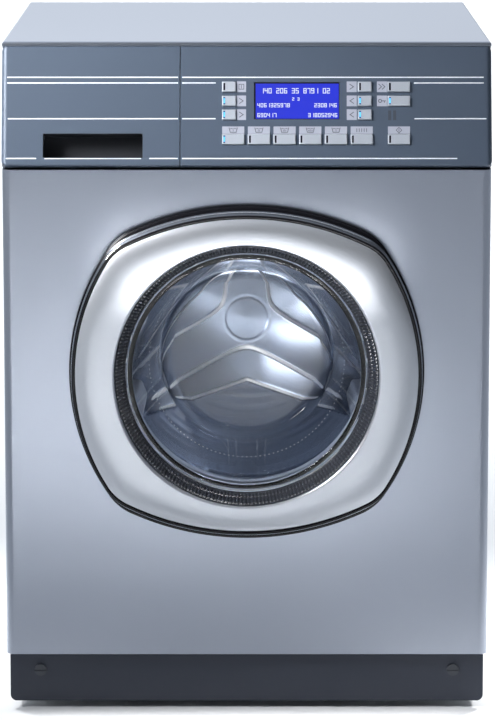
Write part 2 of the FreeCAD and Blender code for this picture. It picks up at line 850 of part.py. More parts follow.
def outside_tub(block):
    """Trims a lug or stub so that it only starts in the tub's wall."""
    return block.cut(rod_y(0, door_z, tub_inner + tub_wall / 2, (0, cabinet_depth)))


def strut_lugs(y):
    """A pair of lugs low on the tub's sides."""
    top = door_z - tub_height_at(strut_x + lug_half)
    lug = outside_tub(box((strut_x - lug_half, strut_x + lug_half), (y - lug_half, y + lug_half),
                          (strut_lug_bottom(), top)))
    return lug.fuse(mirrored(lug))


def sump_bottom():
    """Lower end of the tub's drain stub."""
    return door_z - tub_height_at(abs(pump_x) - sump_radius) - sump_stub


def dispenser_top():
    """Upper end of the tub's filling stub."""
    return door_z + tub_height_at(abs(dispenser_x) - sump_radius) + sump_stub


def spring_lug_top():
    """Where the springs hook into the tub."""
    return door_z + tub_height_at(spring_x - lug_half) + spring_wall


def with_stub(shell, x, y, z):
    """Adds an upright pipe stub to the tub and opens its bore."""
    shell = shell.fuse(outside_tub(rod_z(x, y, sump_radius, z)))
    return shell.cut(rod_z(x, y, sump_radius - hose_wall, (z[0] - past, z[1] + past)))


def tub_front_half():
    """Front half of the tub with the mouth, two lugs and the drain stub."""
    shell = turned([(tub_mouth_radius, tub_front), (tub_outer, tub_front), (tub_outer, tub_split),
                    (tub_inner, tub_split), (tub_inner, tub_front + tub_wall),
                    (tub_mouth_radius, tub_front + tub_wall)], 0, door_z)
    shell = shell.fuse(strut_lugs(strut_y[0]))
    reach = (sump_bottom(), door_z - tub_height_at(abs(pump_x) + sump_radius))
    return with_stub(shell, pump_x, sump_y, reach).removeSplitter()


def heater_height():
    """Height of the heater, between the drum and the tub."""
    return door_z - math.sqrt((tub_inner - drum_gap / 2) ** 2 - heater_half_span ** 2)


def tub_rear_half():
    """Rear half with the bearing hub, lugs, filling stub and heater holes."""
    wall = tub_back - tub_wall
    seat = tub_back + sheet
    hub_end = tub_back + hub_length
    hole = shaft_radius + shaft_clear
    shell = turned([(tub_inner, tub_split), (tub_outer, tub_split), (tub_outer, tub_back),
                    (hub_radius, tub_back), (hub_radius, hub_end), (bearing_outer_radius, hub_end),
                    (bearing_outer_radius, seat), (hole, seat), (hole, wall), (tub_inner, wall)],
                   0, door_z)
    low = door_z + tub_height_at(spring_x + lug_half)
    lug = outside_tub(box((spring_x - lug_half, spring_x + lug_half),
                          (spring_y - lug_half, spring_y + lug_half), (low, spring_lug_top())))
    shell = shell.fuse(strut_lugs(strut_y[1])).fuse(lug).fuse(mirrored(lug))
    reach = (door_z + tub_height_at(abs(dispenser_x) + sump_radius), dispenser_top())
    shell = with_stub(shell, dispenser_x, dispenser_y, reach)
    for x in (-heater_half_span, heater_half_span):
        shell = shell.cut(rod_y(x, heater_height(), heater_radius + running_fit,
                                (wall - past, tub_back + past)))
    return shell.removeSplitter()


def counterweights():
    """A crescent below the mouth and a block on top of the tub."""
    ring_in = opening_radius + tub_travel + weight_clear
    ring_out = tub_outer - weight_margin
    crescent = tube_y(0, door_z, ring_out, ring_in, (tub_front - weight_thick, tub_front))
    crescent = crescent.common(box((-tub_outer, tub_outer), (0, tub_front),
                                   (door_z - tub_outer, door_z - weight_drop)))
    block = box((weight_x, weight_x + weight_width), (weight_y, weight_y + weight_length),
                (door_z, door_z + tub_outer + weight_rise))
    block = block.cut(rod_y(0, door_z, tub_outer + seat_gap, (0, cabinet_depth)))
    return Part.makeCompound([crescent, block])


def heater():
    """Bent tube in the bottom of the tub, on a flange behind it."""
    z = heater_height()
    flange_half = heater_half_span + 2 * heater_radius
    flange_thick = 1.5 * heater_radius
    bend = Part.makeTorus(heater_half_span, heater_radius, V(0, heater_front, z), V(0, 0, 1))
    bend = bend.cut(box((-tub_outer, tub_outer), (heater_front, cabinet_depth), (0, door_z)))
    tube = bend
    for x in (-heater_half_span, heater_half_span):
        tube = tube.fuse(rod_y(x, z, heater_radius, (heater_front, tub_back + flange_thick)))
    flange = box((-flange_half, flange_half), (tub_back, tub_back + flange_thick),
                 (z - 3 * heater_radius, z + 3 * heater_radius))
    return tube.fuse(flange).removeSplitter()


def shaft_bearings():
    """Two bearing rings in the tub's hub."""
    seat = tub_back + sheet
    hub_end = tub_back + hub_length
    rings = [tube_y(0, door_z, bearing_outer_radius - running_fit, shaft_radius + running_fit, y)
             for y in ((seat, seat + bearing_width), (hub_end - bearing_width, hub_end))]
    return Part.makeCompound(rings)


def drum():
    """Thin drum, open in front."""
    inner = drum_radius - drum_wall
    return turned([(drum_mouth_radius, drum_front), (drum_radius, drum_front), (drum_radius, drum_back),
                   (0, drum_back), (0, drum_back - drum_wall), (inner, drum_back - drum_wall),
                   (inner, drum_front + drum_wall), (drum_mouth_radius, drum_front + drum_wall)],
                  0, door_z)


def drum_lifters():
    """Three hollow paddles inside the drum, one at the top."""
    half = lifter_width / 2
    base = math.sqrt((drum_radius - drum_wall) ** 2 - half ** 2) - seat_gap
    start, end = drum_front + lifter_end_room, drum_back - lifter_end_room
    tip = half - lifter_height / 3
    corners = [V(x, start, door_z + z) for x, z in
               ((-half, base), (half, base), (tip, base - lifter_height), (-tip, base - lifter_height))]
    paddle = Part.Face(Part.makePolygon(corners + corners[:1])).extrude(V(0, end - start, 0))
    half, tip, low = half - lifter_wall, tip - lifter_wall, base - lifter_height + lifter_wall
    corners = [V(x, start + lifter_wall, door_z + z) for x, z in
               ((-half, base), (half, base), (tip, low), (-tip, low))]
    paddle = paddle.cut(Part.Face(Part.makePolygon(corners + corners[:1]))
                        .extrude(V(0, end - start - 2 * lifter_wall, 0)))
    paddles = []
    for number in range(lifters):
        turned_paddle = paddle.copy()
        turned_paddle.rotate(V(0, 0, door_z), V(0, 1, 0), 360 / lifters * number)
        paddles.append(turned_paddle)
    return Part.makeCompound(paddles)


def drum_spider():
    """Three-armed casting behind the drum with the shaft in it."""
    y = (drum_back, drum_back + spider_thick)
    spider = rod_y(0, door_z, spider_arm, y)
    arm = box((-spider_arm / 2, spider_arm / 2), y, (door_z, door_z + drum_radius - 2 * drum_wall))
    for number in range(spider_arms):
        turned_arm = arm.copy()
        turned_arm.rotate(V(0, 0, door_z), V(0, 1, 0), 360 / spider_arms * (number + 0.5))
        spider = spider.fuse(turned_arm)
    return spider.fuse(rod_y(0, door_z, shaft_radius, (drum_back, shaft_end))).removeSplitter()


def drum_pulley():
    """Spoked belt pulley on the end of the shaft."""
    y = (pulley_front, pulley_front + pulley_width)
    rim = tube_y(0, door_z, pulley_radius, pulley_radius - spoke_width / 2, y)
    wheel = rim.fuse(rod_y(0, door_z, 2 * shaft_radius, y))
    spoke = box((-spoke_width / 2, spoke_width / 2), (y[0] + sheet, y[1] - sheet),
                (door_z, door_z + pulley_radius - spoke_width / 4))
    for number in range(pulley_spokes):
        turned_spoke = spoke.copy()
        turned_spoke.rotate(V(0, 0, door_z), V(0, 1, 0), 360 / pulley_spokes * number)
        wheel = wheel.fuse(turned_spoke)
    return wheel.cut(rod_y(0, door_z, shaft_radius + running_fit, y)).removeSplitter()


def motor_span():
    """Front and back of the motor's housing."""
    back = pulley_front - pulley_gap
    return back - motor_length, back


def motor():
    """Motor housing with its mounting lug under the tub."""
    z = door_z - motor_drop
    front, back = motor_span()
    housing = rod_y(motor_x, z, motor_radius, (front, back))
    housing = housing.cut(rod_y(motor_x, z, motor_radius - motor_wall,
                                (front + motor_wall, back - motor_wall)))
    lug = box((motor_x - lug_half, motor_x + lug_half), (front + motor_wall, tub_back - motor_wall),
              (z + motor_radius - motor_wall / 2, door_z - tub_height_at(motor_x + lug_half)))
    lug = lug.cut(rod_y(0, door_z, tub_outer + seat_gap, (0, cabinet_depth)))
    bore = rod_y(motor_x, z, motor_shaft_radius + running_fit, (front - past, back + past))
    return housing.fuse(lug).cut(bore).removeSplitter()


def motor_rotor():
    """Rotor core on a shaft that carries the small belt pulley."""
    z = door_z - motor_drop
    front, back = motor_span()
    core = rod_y(motor_x, z, motor_radius - motor_wall - 2 * seat_gap,
                 (front + motor_wall + rotor_end_gap, back - motor_wall - rotor_end_gap))
    shaft = rod_y(motor_x, z, motor_shaft_radius, (front, pulley_front + pulley_width))
    pulley = rod_y(motor_x, z, motor_pulley_radius, (pulley_front, pulley_front + pulley_width))
    return core.fuse(shaft).fuse(pulley).removeSplitter()


def belt_loop(grow, y):
    """Solid inside a belt round both pulleys, grown by a distance."""
    big, small = pulley_radius + grow, motor_pulley_radius + grow
    apart = math.hypot(motor_x, motor_drop)
    toward = math.atan2(-motor_drop, motor_x)
    spread = math.acos((big - small) / apart)

    def at(x, z, radius, angle):
        return V(x + radius * math.cos(angle), y[0], door_z + z + radius * math.sin(angle))

    big_arc = [at(0, 0, big, toward + turn) for turn in (spread, math.pi, -spread)]
    small_arc = [at(motor_x, -motor_drop, small, toward + turn) for turn in (-spread, 0, spread)]
    edges = [Part.Arc(*big_arc).toShape(), Part.makeLine(big_arc[2], small_arc[0]),
             Part.Arc(*small_arc).toShape(), Part.makeLine(small_arc[2], big_arc[0])]
    return Part.Face(Part.Wire(edges)).extrude(V(0, y[1] - y[0], 0))


def drive_belt():
    """Flat belt from the motor to the drum pulley."""
    start = pulley_front + (pulley_width - belt_width) / 2
    y = (start, start + belt_width)
    return belt_loop(seat_gap + belt_thick, y).cut(belt_loop(seat_gap, y))


# Suspension

def strut_places():
    """Plan positions of the four dampers."""
    return [(x, y) for x in (-strut_x, strut_x) for y in strut_y]


def damper_cylinders():
    """Four closed cylinders standing on the base."""
    floor = foot_height + base_floor
    top = floor + strut_cylinder
    bore = strut_rod_radius + seat_gap
    return Part.makeCompound([
        rod_z(x, y, strut_radius, (floor, top)).cut(rod_z(x, y, bore, (floor + bracket_thick, top + past)))
        for x, y in strut_places()])


def damper_rods():
    """Four rods from the tub's lugs down into the cylinders."""
    top = strut_lug_bottom()
    return Part.makeCompound([rod_z(x, y, strut_rod_radius, (top - strut_rod, top))
                              for x, y in strut_places()])


def suspension_springs():
    """Two hanging springs, each as a plain sleeve."""
    top = side_top - spring_hook_up
    return Part.makeCompound([tube_z(x, spring_y, spring_radius, spring_radius - spring_wall,
                                     (spring_lug_top(), top)) for x in (-spring_x, spring_x)])


# Water path and power

def pump_stub_top():
    """Upper end of the pump's inlet."""
    return pump_z + pump_radius + sump_stub


def drain_pump():
    """Pump body on the base with a bore for its filter."""
    back = pump_front + pump_length
    body = rod_y(pump_x, pump_z, pump_radius, (pump_front, back))
    body = body.fuse(rod_z(pump_x, sump_y, sump_radius, (pump_z, pump_stub_top())))
    foot = box((pump_x - sump_radius, pump_x + sump_radius), (pump_front + sump_stub, back - sump_stub),
               (foot_height + base_floor, pump_z))
    body = body.fuse(foot)
    chamber = rod_y(pump_x, pump_z, filter_radius + seat_gap, (pump_front - past, back - 2 * sump_stub))
    inlet = rod_z(pump_x, sump_y, sump_radius - hose_wall, (pump_z, pump_stub_top() + past))
    outlet = rod_y(pump_x, pump_z, drain_radius - hose_wall, (pump_front, back + past))
    return body.cut(chamber).cut(inlet).cut(outlet).removeSplitter()


def pump_filter():
    """Screw-in filter plug with a grip bar."""
    collar = filter_grip / 2
    face = pump_front - collar
    plug = rod_y(pump_x, pump_z, filter_radius, (face, pump_front + filter_plug))
    half = filter_radius - collar
    grip = box((pump_x - half, pump_x + half), (face - filter_grip, face),
               (pump_z - collar / 2, pump_z + collar / 2))
    return plug.fuse(grip).removeSplitter()


def sump_hose():
    """Upright hose from the tub to the pump."""
    return tube_z(pump_x, sump_y, sump_radius, sump_radius - hose_wall, (pump_stub_top(), sump_bottom()))


def dispenser_hose():
    """Short hose from the drawer housing to the tub."""
    return tube_z(dispenser_x, dispenser_y, sump_radius, sump_radius - hose_wall,
                  (dispenser_top(), housing_box()[2][0]))


def drain_hose():
    """Pipe from the pump to the outlet spigot behind the base."""
    start, end = pump_front + pump_length, cabinet_depth + rear_reach
    pipe = rod_y(pump_x, pump_z, drain_radius, (start, cabinet_depth))
    spigot = rod_y(pump_x, pump_z, spigot_radius, (cabinet_depth, end))
    bore = rod_y(pump_x, pump_z, drain_radius - hose_wall, (start - past, end + past))
    return pipe.fuse(spigot).cut(bore).removeSplitter()


def inlet_valve():
    """Water valve with its threaded nose through the rear panel."""
    half = valve_size / 2
    wall = cabinet_depth - sheet
    body = box((valve_x - half, valve_x + half), (wall - valve_size, wall),
               (valve_z - half, valve_z + half))
    collar = rod_y(valve_x, valve_z, valve_collar_radius, (wall - past, cabinet_depth))
    nose = rod_y(valve_x, valve_z, valve_thread_radius, (wall, cabinet_depth + rear_reach))
    bore = rod_y(valve_x, valve_z, valve_thread_radius - bracket_thick,
                 (wall, cabinet_depth + rear_reach + past))
    return body.fuse(collar).fuse(nose).cut(bore).removeSplitter()


def mains_inlet():
    """Mains bush through the rear panel, on its terminal box."""
    half = valve_size / 2
    wall = cabinet_depth - sheet
    body = box((mains_x - half, mains_x + half), (wall - valve_size, wall),
               (valve_z - half, valve_z + half))
    nose = rod_y(mains_x, valve_z, mains_radius, (wall - past, cabinet_depth + rear_reach / 2))
    bore = rod_y(mains_x, valve_z, mains_radius / 2, (wall, cabinet_depth + rear_reach))
    return body.fuse(nose).cut(bore).removeSplitter()


def pieces():
    """Every piece by name."""
    right = side_panel()
    nodes = {
        "side_panel_left": mirrored(right),
        "side_panel_right": right,
        "rear_panel": rear_panel(),
        "base_frame": base_frame(),
        "levelling_feet": levelling_feet(),
        "top_panel": top_panel(),
        "front_panel": front_panel(),
        "plinth": plinth(),
        "plinth_fastener_left": plinth_fastener(-fastener_x),
        "plinth_fastener_right": plinth_fastener(fastener_x),
        "control_fascia": control_fascia(),
        "display_module": display_module(),
        "drawer_front": drawer_front(),
        "drawer_tray": drawer_tray(),
        "drawer_housing": drawer_housing(),
        "door_bezel": door_bezel(),
        "door_frame": door_frame(),
        "door_glass": door_glass(),
        "door_hook": door_hook(),
        "door_lock": door_lock(),
        "hinge_bracket": hinge_bracket(),
        "hinge_pin": hinge_pin(),
        "door_gasket": door_gasket(),
        "tub_front": tub_front_half(),
        "tub_rear": tub_rear_half(),
        "counterweights": counterweights(),
        "heater": heater(),
        "shaft_bearings": shaft_bearings(),
        "drum": drum(),
        "drum_lifters": drum_lifters(),
        "drum_spider": drum_spider(),
        "drum_pulley": drum_pulley(),
        "motor": motor(),
        "motor_rotor": motor_rotor(),
        "drive_belt": drive_belt(),
        "damper_cylinders": damper_cylinders(),
        "damper_rods": damper_rods(),
        "suspension_springs": suspension_springs(),
        "drain_pump": drain_pump(),
        "pump_filter": pump_filter(),
        "sump_hose": sump_hose(),
        "dispenser_hose": dispenser_hose(),
        "drain_hose": drain_hose(),
        "inlet_valve": inlet_valve(),
        "mains_inlet": mains_inlet(),
    }
    for name, x, v, width in key_places():
        nodes[name] = key(x, v, width)
    return nodes


def main():
    """Writes one file per piece."""
    os.makedirs("parts", exist_ok=True)
    for name, shape in pieces().items():
        shape.translate(V(0, -middle_y, 0))
        shape.exportStep(f"parts/{name}.step")
        print(name, "solids", len(shape.Solids), "valid", shape.isValid(), "volume", round(shape.Volume))


main()
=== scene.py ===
"""Looks of the washing machine: door, glass, drum, printed marks, materials, light and camera.

Sizes are millimetres in the layout of the machine: x to the right, depth behind the front
panel's face, z up. The helper at() turns them into the frame's metres.
"""
import json
import math

import bmesh
import bpy
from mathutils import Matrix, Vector


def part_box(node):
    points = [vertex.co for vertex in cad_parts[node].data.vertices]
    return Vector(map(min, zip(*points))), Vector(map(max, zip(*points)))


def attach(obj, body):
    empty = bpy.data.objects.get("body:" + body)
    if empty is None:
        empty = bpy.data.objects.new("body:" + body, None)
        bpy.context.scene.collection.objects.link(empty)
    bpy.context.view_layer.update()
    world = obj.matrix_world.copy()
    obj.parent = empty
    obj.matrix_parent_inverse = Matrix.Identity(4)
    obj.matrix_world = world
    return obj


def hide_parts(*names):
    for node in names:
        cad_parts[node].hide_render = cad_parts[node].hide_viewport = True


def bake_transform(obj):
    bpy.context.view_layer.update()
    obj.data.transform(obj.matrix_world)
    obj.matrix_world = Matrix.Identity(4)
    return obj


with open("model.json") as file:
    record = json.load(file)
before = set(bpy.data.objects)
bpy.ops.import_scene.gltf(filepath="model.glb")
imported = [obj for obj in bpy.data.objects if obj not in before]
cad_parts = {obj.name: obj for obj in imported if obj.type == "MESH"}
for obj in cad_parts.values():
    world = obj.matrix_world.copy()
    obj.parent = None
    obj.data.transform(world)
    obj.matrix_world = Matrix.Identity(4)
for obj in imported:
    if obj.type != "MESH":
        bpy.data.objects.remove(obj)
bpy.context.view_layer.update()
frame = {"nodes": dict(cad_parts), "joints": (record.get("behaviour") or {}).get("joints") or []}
scene = bpy.context.scene
MM = 0.001

# Places taken from the frame
front_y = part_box("front_panel")[0].y
door_z = sum(corner.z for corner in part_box("door_glass")) / 2 / MM
joints = {joint["name"]: joint for joint in frame["joints"]}
press = Vector(joints["key_start_press"]["axis"])

# Fascia: its lower edge
fascia_depth_at_foot, fascia_z = -12.0, 688.0

# Door outline: four bulging sides joined by rounded corners
door_half_width, door_half_height = 214.9, 198.8
door_side_radius, door_top_radius, door_corner_radius = 266.0, 336.0, 61.6
door_flare, door_flare_up = 4.0, 9.5
face_edge = 4.3          # the face's edge inside the rim's edge
ring_radius, ring_depth = 162.5, -34.0
ring_inner_radius, ring_inner_depth = 150.0, -9.0

# Glass bowl
bowl_rim_radius, bowl_rim_front, bowl_rim_back = 156.0, -8.0, -2.0
bowl_mouth_radius, bowl_tip_radius, bowl_depth = 147.0, 112.0, 138.0
bowl_wall, bowl_round = 6.0, 22.0

# Drum
drum_radius, drum_front, drum_back, drum_mouth_radius = 240.0, 74.0, 400.0, 158.0
drum_sheet = 1.0
drum_plain = 14.0        # ends of the cylinder without holes


def at(x, depth, z):
    """A point of the layout in the frame's metres."""
    return Vector((x * MM, front_y + depth * MM, z * MM))


def round_axis(radius, turn, depth):
    """A point round the axis of door and drum."""
    return at(radius * math.cos(turn), depth, door_z + radius * math.sin(turn))


def full_turn(steps):
    """Angles of equal steps round a circle."""
    return [2 * math.pi * k / steps for k in range(steps)]


def on_fascia(x, v, out=0.0):
    """A point on the inclined fascia: x, distance up its slope and height above its face."""
    across = Vector((0, -press.z, press.y))
    return at(x, fascia_depth_at_foot, fascia_z) + across * v * MM - press * out * MM


# Meshes

def add_mesh(name, points, faces, finish, body, smooth=False):
    """A mesh object that rides on a body, or on none where it spans two."""
    mesh = bpy.data.meshes.new(name)
    mesh.from_pydata(points, [], faces)
    work = bmesh.new()
    work.from_mesh(mesh)
    bmesh.ops.remove_doubles(work, verts=work.verts, dist=1e-7)
    bmesh.ops.recalc_face_normals(work, faces=work.faces)
    work.to_mesh(mesh)
    work.free()
    mesh.materials.append(finish)
    if smooth:
        mesh.polygons.foreach_set("use_smooth", [True] * len(mesh.polygons))
        mesh.set_sharp_from_angle(angle=math.radians(40))
    made = bpy.data.objects.new(name, mesh)
    scene.collection.objects.link(made)
    if body:
        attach(made, body)
    return made


def swept(name, rows, finish, body, capped=False):
    """A skin over loops of points: a ring whose last loop joins its first, or a capped tube."""
    count = len(rows[0])
    points = [point for row in rows for point in row]
    faces = []
    if capped:
        faces = [tuple(range(count)), tuple(range(len(points) - count, len(points)))]
    for r in range(len(rows) - capped):
        below, above = r * count, (r + 1) % len(rows) * count
        for c in range(count):
            d = (c + 1) % count
            faces.append((below + c, below + d, above + d, above + c))
    return add_mesh(name, points, faces, finish, body, smooth=True)


def lathe(name, profile, finish, body, steps, x=0.0, z=None):
    """A solid of revolution about the drum's axis from a closed profile of (radius, depth)."""
    middle = door_z if z is None else z
    rows = []
    for radius, depth in profile:
        rows.append([at(x + radius * math.cos(turn), depth, middle + radius * math.sin(turn))
                     for turn in full_turn(steps)])
    return swept(name, rows, finish, body)


def rounded_path(corners):
    """A polyline of (a, b, radius) corners with each corner rounded by an arc."""
    path, steps = [], 8
    for k, (a, b, radius) in enumerate(corners):
        here = Vector((a, b))
        if radius == 0 or k in (0, len(corners) - 1):
            path.append((a, b))
            continue
        before = (Vector(corners[k - 1][:2]) - here).normalized()
        after = (Vector(corners[k + 1][:2]) - here).normalized()
        half = before.angle(after) / 2
        reach = radius / math.tan(half)
        middle = here + (before + after).normalized() * radius / math.sin(half)
        start, end = here + before * reach - middle, here + after * reach - middle
        spread = start.angle_signed(end)
        for step in range(steps + 1):
            turn = -spread * step / steps
            path.append((middle.x + start.x * math.cos(turn) - start.y * math.sin(turn),
                         middle.y + start.x * math.sin(turn) + start.y * math.cos(turn)))
    return path


class Plates:
    """Collects flat plates and strokes on the fascia into one mesh."""

    def __init__(self, proud, sunk=0.2):
        self.proud, self.sunk = proud, sunk
        self.points, self.faces = [], []

    def prism(self, corners):
        """A thin plate with the given (x, v) corners, counter-clockwise."""
        base, count = len(self.points), len(corners)
        for height in (-self.sunk, self.proud):
            self.points += [on_fascia(x, v, height) for x, v in corners]
        self.faces.append(tuple(base + count + k for k in range(count)))
        self.faces.append(tuple(base + k for k in reversed(range(count))))
        for k in range(count):
            n = (k + 1) % count
            self.faces.append((base + k, base + n, base + count + n, base + count + k))

    def rect(self, x0, x1, v0, v1):
        """A rectangular plate."""
        self.prism([(x0, v0), (x1, v0), (x1, v1), (x0, v1)])

    def stroke(self, ends, width):
        """Straight strokes through a list of points."""
        for (x0, v0), (x1, v1) in zip(ends, ends[1:]):
            run = math.hypot(x1 - x0, v1 - v0)
            px, pv = -(v1 - v0) / run * width / 2, (x1 - x0) / run * width / 2
            ex, ev = (x1 - x0) / run * width / 2, (v1 - v0) / run * width / 2
            self.prism([(x0 - ex - px, v0 - ev - pv), (x1 + ex - px, v1 + ev - pv),
                        (x1 + ex + px, v1 + ev + pv), (x0 - ex + px, v0 - ev + pv)])

    def ring(self, x, v, radius, width):
        """A circle drawn as strokes."""
        steps = 14
        turns = [2 * math.pi * k / steps for k in range(steps + 1)]
        self.stroke([(x + radius * math.cos(turn), v + radius * math.sin(turn)) for turn in turns],
                    width)

    def make(self, name, finish, body):
        """The mesh object with all that was collected."""
        return add_mesh(name, self.points, self.faces, finish, body)


# Materials

def set_sockets(node, **values):
    """Sets some of a node's sockets, by name with spaces as underscores."""
    for socket, value in values.items():
        node.inputs[socket.replace("_", " ")].default_value = value
    return node


def material(name, colour, rough, metal=0.0, **extra):
    """A Principled material, with extra sockets by name."""
    made = bpy.data.materials.new(name)
    made.use_nodes = True
    set_sockets(made.node_tree.nodes["Principled BSDF"], Base_Color=(*colour, 1), Roughness=rough,
                Metallic=metal, **extra)
    return made


def new_node(nodes, kind, **values):
    """A new node with some of its sockets set."""
    return set_sockets(nodes.new(kind), **values)


def grained(made, scale, strength, distance=0.0002):
    """Adds a fine bump whose grain is stretched by a different scale along each axis."""
    nodes, links = made.node_tree.nodes, made.node_tree.links
    place = nodes.new("ShaderNodeTexCoord")
    stretch = new_node(nodes, "ShaderNodeMapping", Scale=scale)
    noise = new_node(nodes, "ShaderNodeTexNoise", Scale=1.0, Detail=3.0)
    bump = new_node(nodes, "ShaderNodeBump", Strength=strength, Distance=distance)
    links.new(place.outputs["Object"], stretch.inputs["Vector"])
    links.new(stretch.outputs["Vector"], noise.inputs["Vector"])
    links.new(noise.outputs["Fac"], bump.inputs["Height"])
    links.new(bump.outputs["Normal"], nodes["Principled BSDF"].inputs["Normal"])
    return made


def mottled(made, scale, low, high):
    """Varies a material's colour between two tones with a soft noise."""
    nodes, links = made.node_tree.nodes, made.node_tree.links
    place = nodes.new("ShaderNodeTexCoord")
    noise = new_node(nodes, "ShaderNodeTexNoise", Scale=scale, Detail=5.0)
    ramp = nodes.new("ShaderNodeValToRGB")
    ramp.color_ramp.elements[0].color = (*low, 1)
    ramp.color_ramp.elements[1].color = (*high, 1)
    links.new(place.outputs["Object"], noise.inputs["Vector"])
    links.new(noise.outputs["Fac"], ramp.inputs["Fac"])
    links.new(ramp.outputs["Color"], nodes["Principled BSDF"].inputs["Base Color"])
    return made


def lit(name, colour, strength):
    """A glowing surface."""
    unlit, rough = (0.01, 0.01, 0.012), 0.4
    return material(name, unlit, rough, Emission_Color=(*colour, 1), Emission_Strength=strength)


def clear_glass(name):
    """Glass that lets lamps through to what is behind it."""
    made = material(name, (0.97, 0.985, 1.0), 0.0, Transmission_Weight=1.0, IOR=1.45)
    nodes, links = made.node_tree.nodes, made.node_tree.links
    path = nodes.new("ShaderNodeLightPath")
    clear = nodes.new("ShaderNodeBsdfTransparent")
    mix = nodes.new("ShaderNodeMixShader")
    links.new(path.outputs["Is Shadow Ray"], mix.inputs["Fac"])
    links.new(nodes["Principled BSDF"].outputs["BSDF"], mix.inputs[1])
    links.new(clear.outputs["BSDF"], mix.inputs[2])
    links.new(mix.outputs["Shader"], nodes["Material Output"].inputs["Surface"])
    return made


def paint_edge_highlights(made, colour, bright, rough, rough_edge):
    """Paints highlights on a metal: brightens its colour towards white and roughens it where a mesh
    attribute marks the pressed edges.
    """
    nodes, links = made.node_tree.nodes, made.node_tree.links
    painted_highlight = nodes.new("ShaderNodeAttribute")
    painted_highlight.attribute_name = "painted_highlight"
    tones = nodes.new("ShaderNodeValToRGB")
    tones.color_ramp.elements[0].color = (*colour, 1)
    tones.color_ramp.elements[1].color = (*bright, 1)
    sheen = new_node(nodes, "ShaderNodeMapRange", To_Min=rough, To_Max=rough_edge)
    shader = nodes["Principled BSDF"]
    links.new(painted_highlight.outputs["Fac"], tones.inputs["Fac"])
    links.new(painted_highlight.outputs["Fac"], sheen.inputs["Value"])
    links.new(tones.outputs["Color"], shader.inputs["Base Color"])
    links.new(sheen.outputs["Result"], shader.inputs["Roughness"])
    return made


upright_grain, round_grain, drawn_grain = (400, 400, 6), (900, 900, 900), (500, 12, 500)
moulded = 0.12           # strength of the grain on plain plastic and rubber
silver = grained(material("silver_steel", (0.41, 0.44, 0.505), 0.28, 1.0), upright_grain, 0.04)
fascia_grey = grained(material("fascia_grey", (0.073, 0.097, 0.138), 0.42, 0.15), round_grain, 0.06)
# Painted shade: near-black sheet inside the drawer's handle recess
recess_painted_shade = material("recess_painted_shade", (0.012, 0.014, 0.02), 0.5)
key_silver = grained(material("key_silver", (0.435, 0.47, 0.53), 0.35, 0.2), round_grain, 0.05)
legend_grey = material("legend_grey", (0.37, 0.39, 0.465), 0.5)
legend_ink = material("legend_ink", (0.12, 0.125, 0.15), 0.6)
white_print = material("white_print", (0.80, 0.83, 0.88), 0.5)
slot_dark = material("slot_dark", (0.05, 0.06, 0.08), 0.5)
lamp_off = material("lamp_off", (0.012, 0.012, 0.02), 0.25)
lamp_on = lit("lamp_on", (0.10, 0.55, 1.0), 1.6)
lamp_edge = lit("lamp_edge", (0.0, 0.04, 0.25), 0.8)
display_blue = lit("display_blue", (0.007, 0.022, 0.69), 1.0)
display_edge = material("display_edge", (0.005, 0.005, 0.02), 0.4)
display_mark = lit("display_mark", (0.80, 0.86, 1.0), 1.0)
plinth_grey = grained(material("plinth_grey", (0.018, 0.024, 0.041), 0.5), round_grain, 0.05)
fastener_grey = material("fastener_grey", (0.035, 0.04, 0.052), 0.35)
bezel_satin = grained(material("bezel_satin", (0.62, 0.645, 0.69), 0.30, 0.8), round_grain, 0.02)
rim_black = material("rim_black", (0.004, 0.004, 0.006), 0.22, Specular_IOR_Level=0.25)
rim_bright = material("rim_bright", (0.90, 0.91, 0.93), 0.12, 1.0)
ring_black = material("ring_black", (0.024, 0.027, 0.036), 0.2, Specular_IOR_Level=1.0)
frame_black = grained(material("frame_black", (0.012, 0.012, 0.014), 0.35), round_grain, moulded)
bowl_glass = clear_glass("bowl_glass")
rubber_grey = grained(material("rubber_grey", (0.36, 0.41, 0.49), 0.5), round_grain, moulded)
dot_white = material("dot_white", (0.55, 0.58, 0.63), 0.35)
rubber_black = grained(material("rubber_black", (0.02, 0.02, 0.022), 0.6), round_grain, moulded)
stainless = grained(material("stainless", (0.46, 0.52, 0.63), 0.3, 1.0), drawn_grain, 0.05)
# Drum back steel with painted highlights: white base colour along the pressed edges
pressed_steel = paint_edge_highlights(material("pressed_steel", (0.38, 0.43, 0.53), 0.2, 1.0),
                              (0.38, 0.43, 0.53), (1.0, 1.0, 1.0), 0.2, 0.42)
paddle_steel = material("paddle_steel", (0.15, 0.17, 0.22), 0.28, 0.7)
tub_grey = grained(material("tub_grey", (0.22, 0.23, 0.25), 0.6), round_grain, moulded)
zinc = mottled(material("zinc", (0.5, 0.51, 0.53), 0.42, 0.85), 60,
               (0.44, 0.45, 0.47), (0.56, 0.57, 0.59))
screw_zinc = material("screw_zinc", (0.45, 0.46, 0.5), 0.3, 1.0)
soft_white = grained(material("soft_white", (0.72, 0.74, 0.76), 0.45), round_grain, moulded)
concrete = mottled(material("concrete", (0.38, 0.37, 0.35), 0.9), 90,
                   (0.30, 0.29, 0.28), (0.46, 0.45, 0.43))
cast_alloy = grained(material("cast_alloy", (0.55, 0.56, 0.58), 0.5, 0.9), round_grain, 0.3, 0.0004)
bright_steel = material("bright_steel", (0.55, 0.55, 0.57), 0.25, 1.0)
motor_black = grained(material("motor_black", (0.03, 0.03, 0.033), 0.5, 0.3), round_grain, moulded)
foot_black = grained(material("foot_black", (0.012, 0.012, 0.013), 0.55), round_grain, moulded)
floor_white = material("floor_white", (0.93, 0.94, 0.95), 0.8, Specular_IOR_Level=0.0)

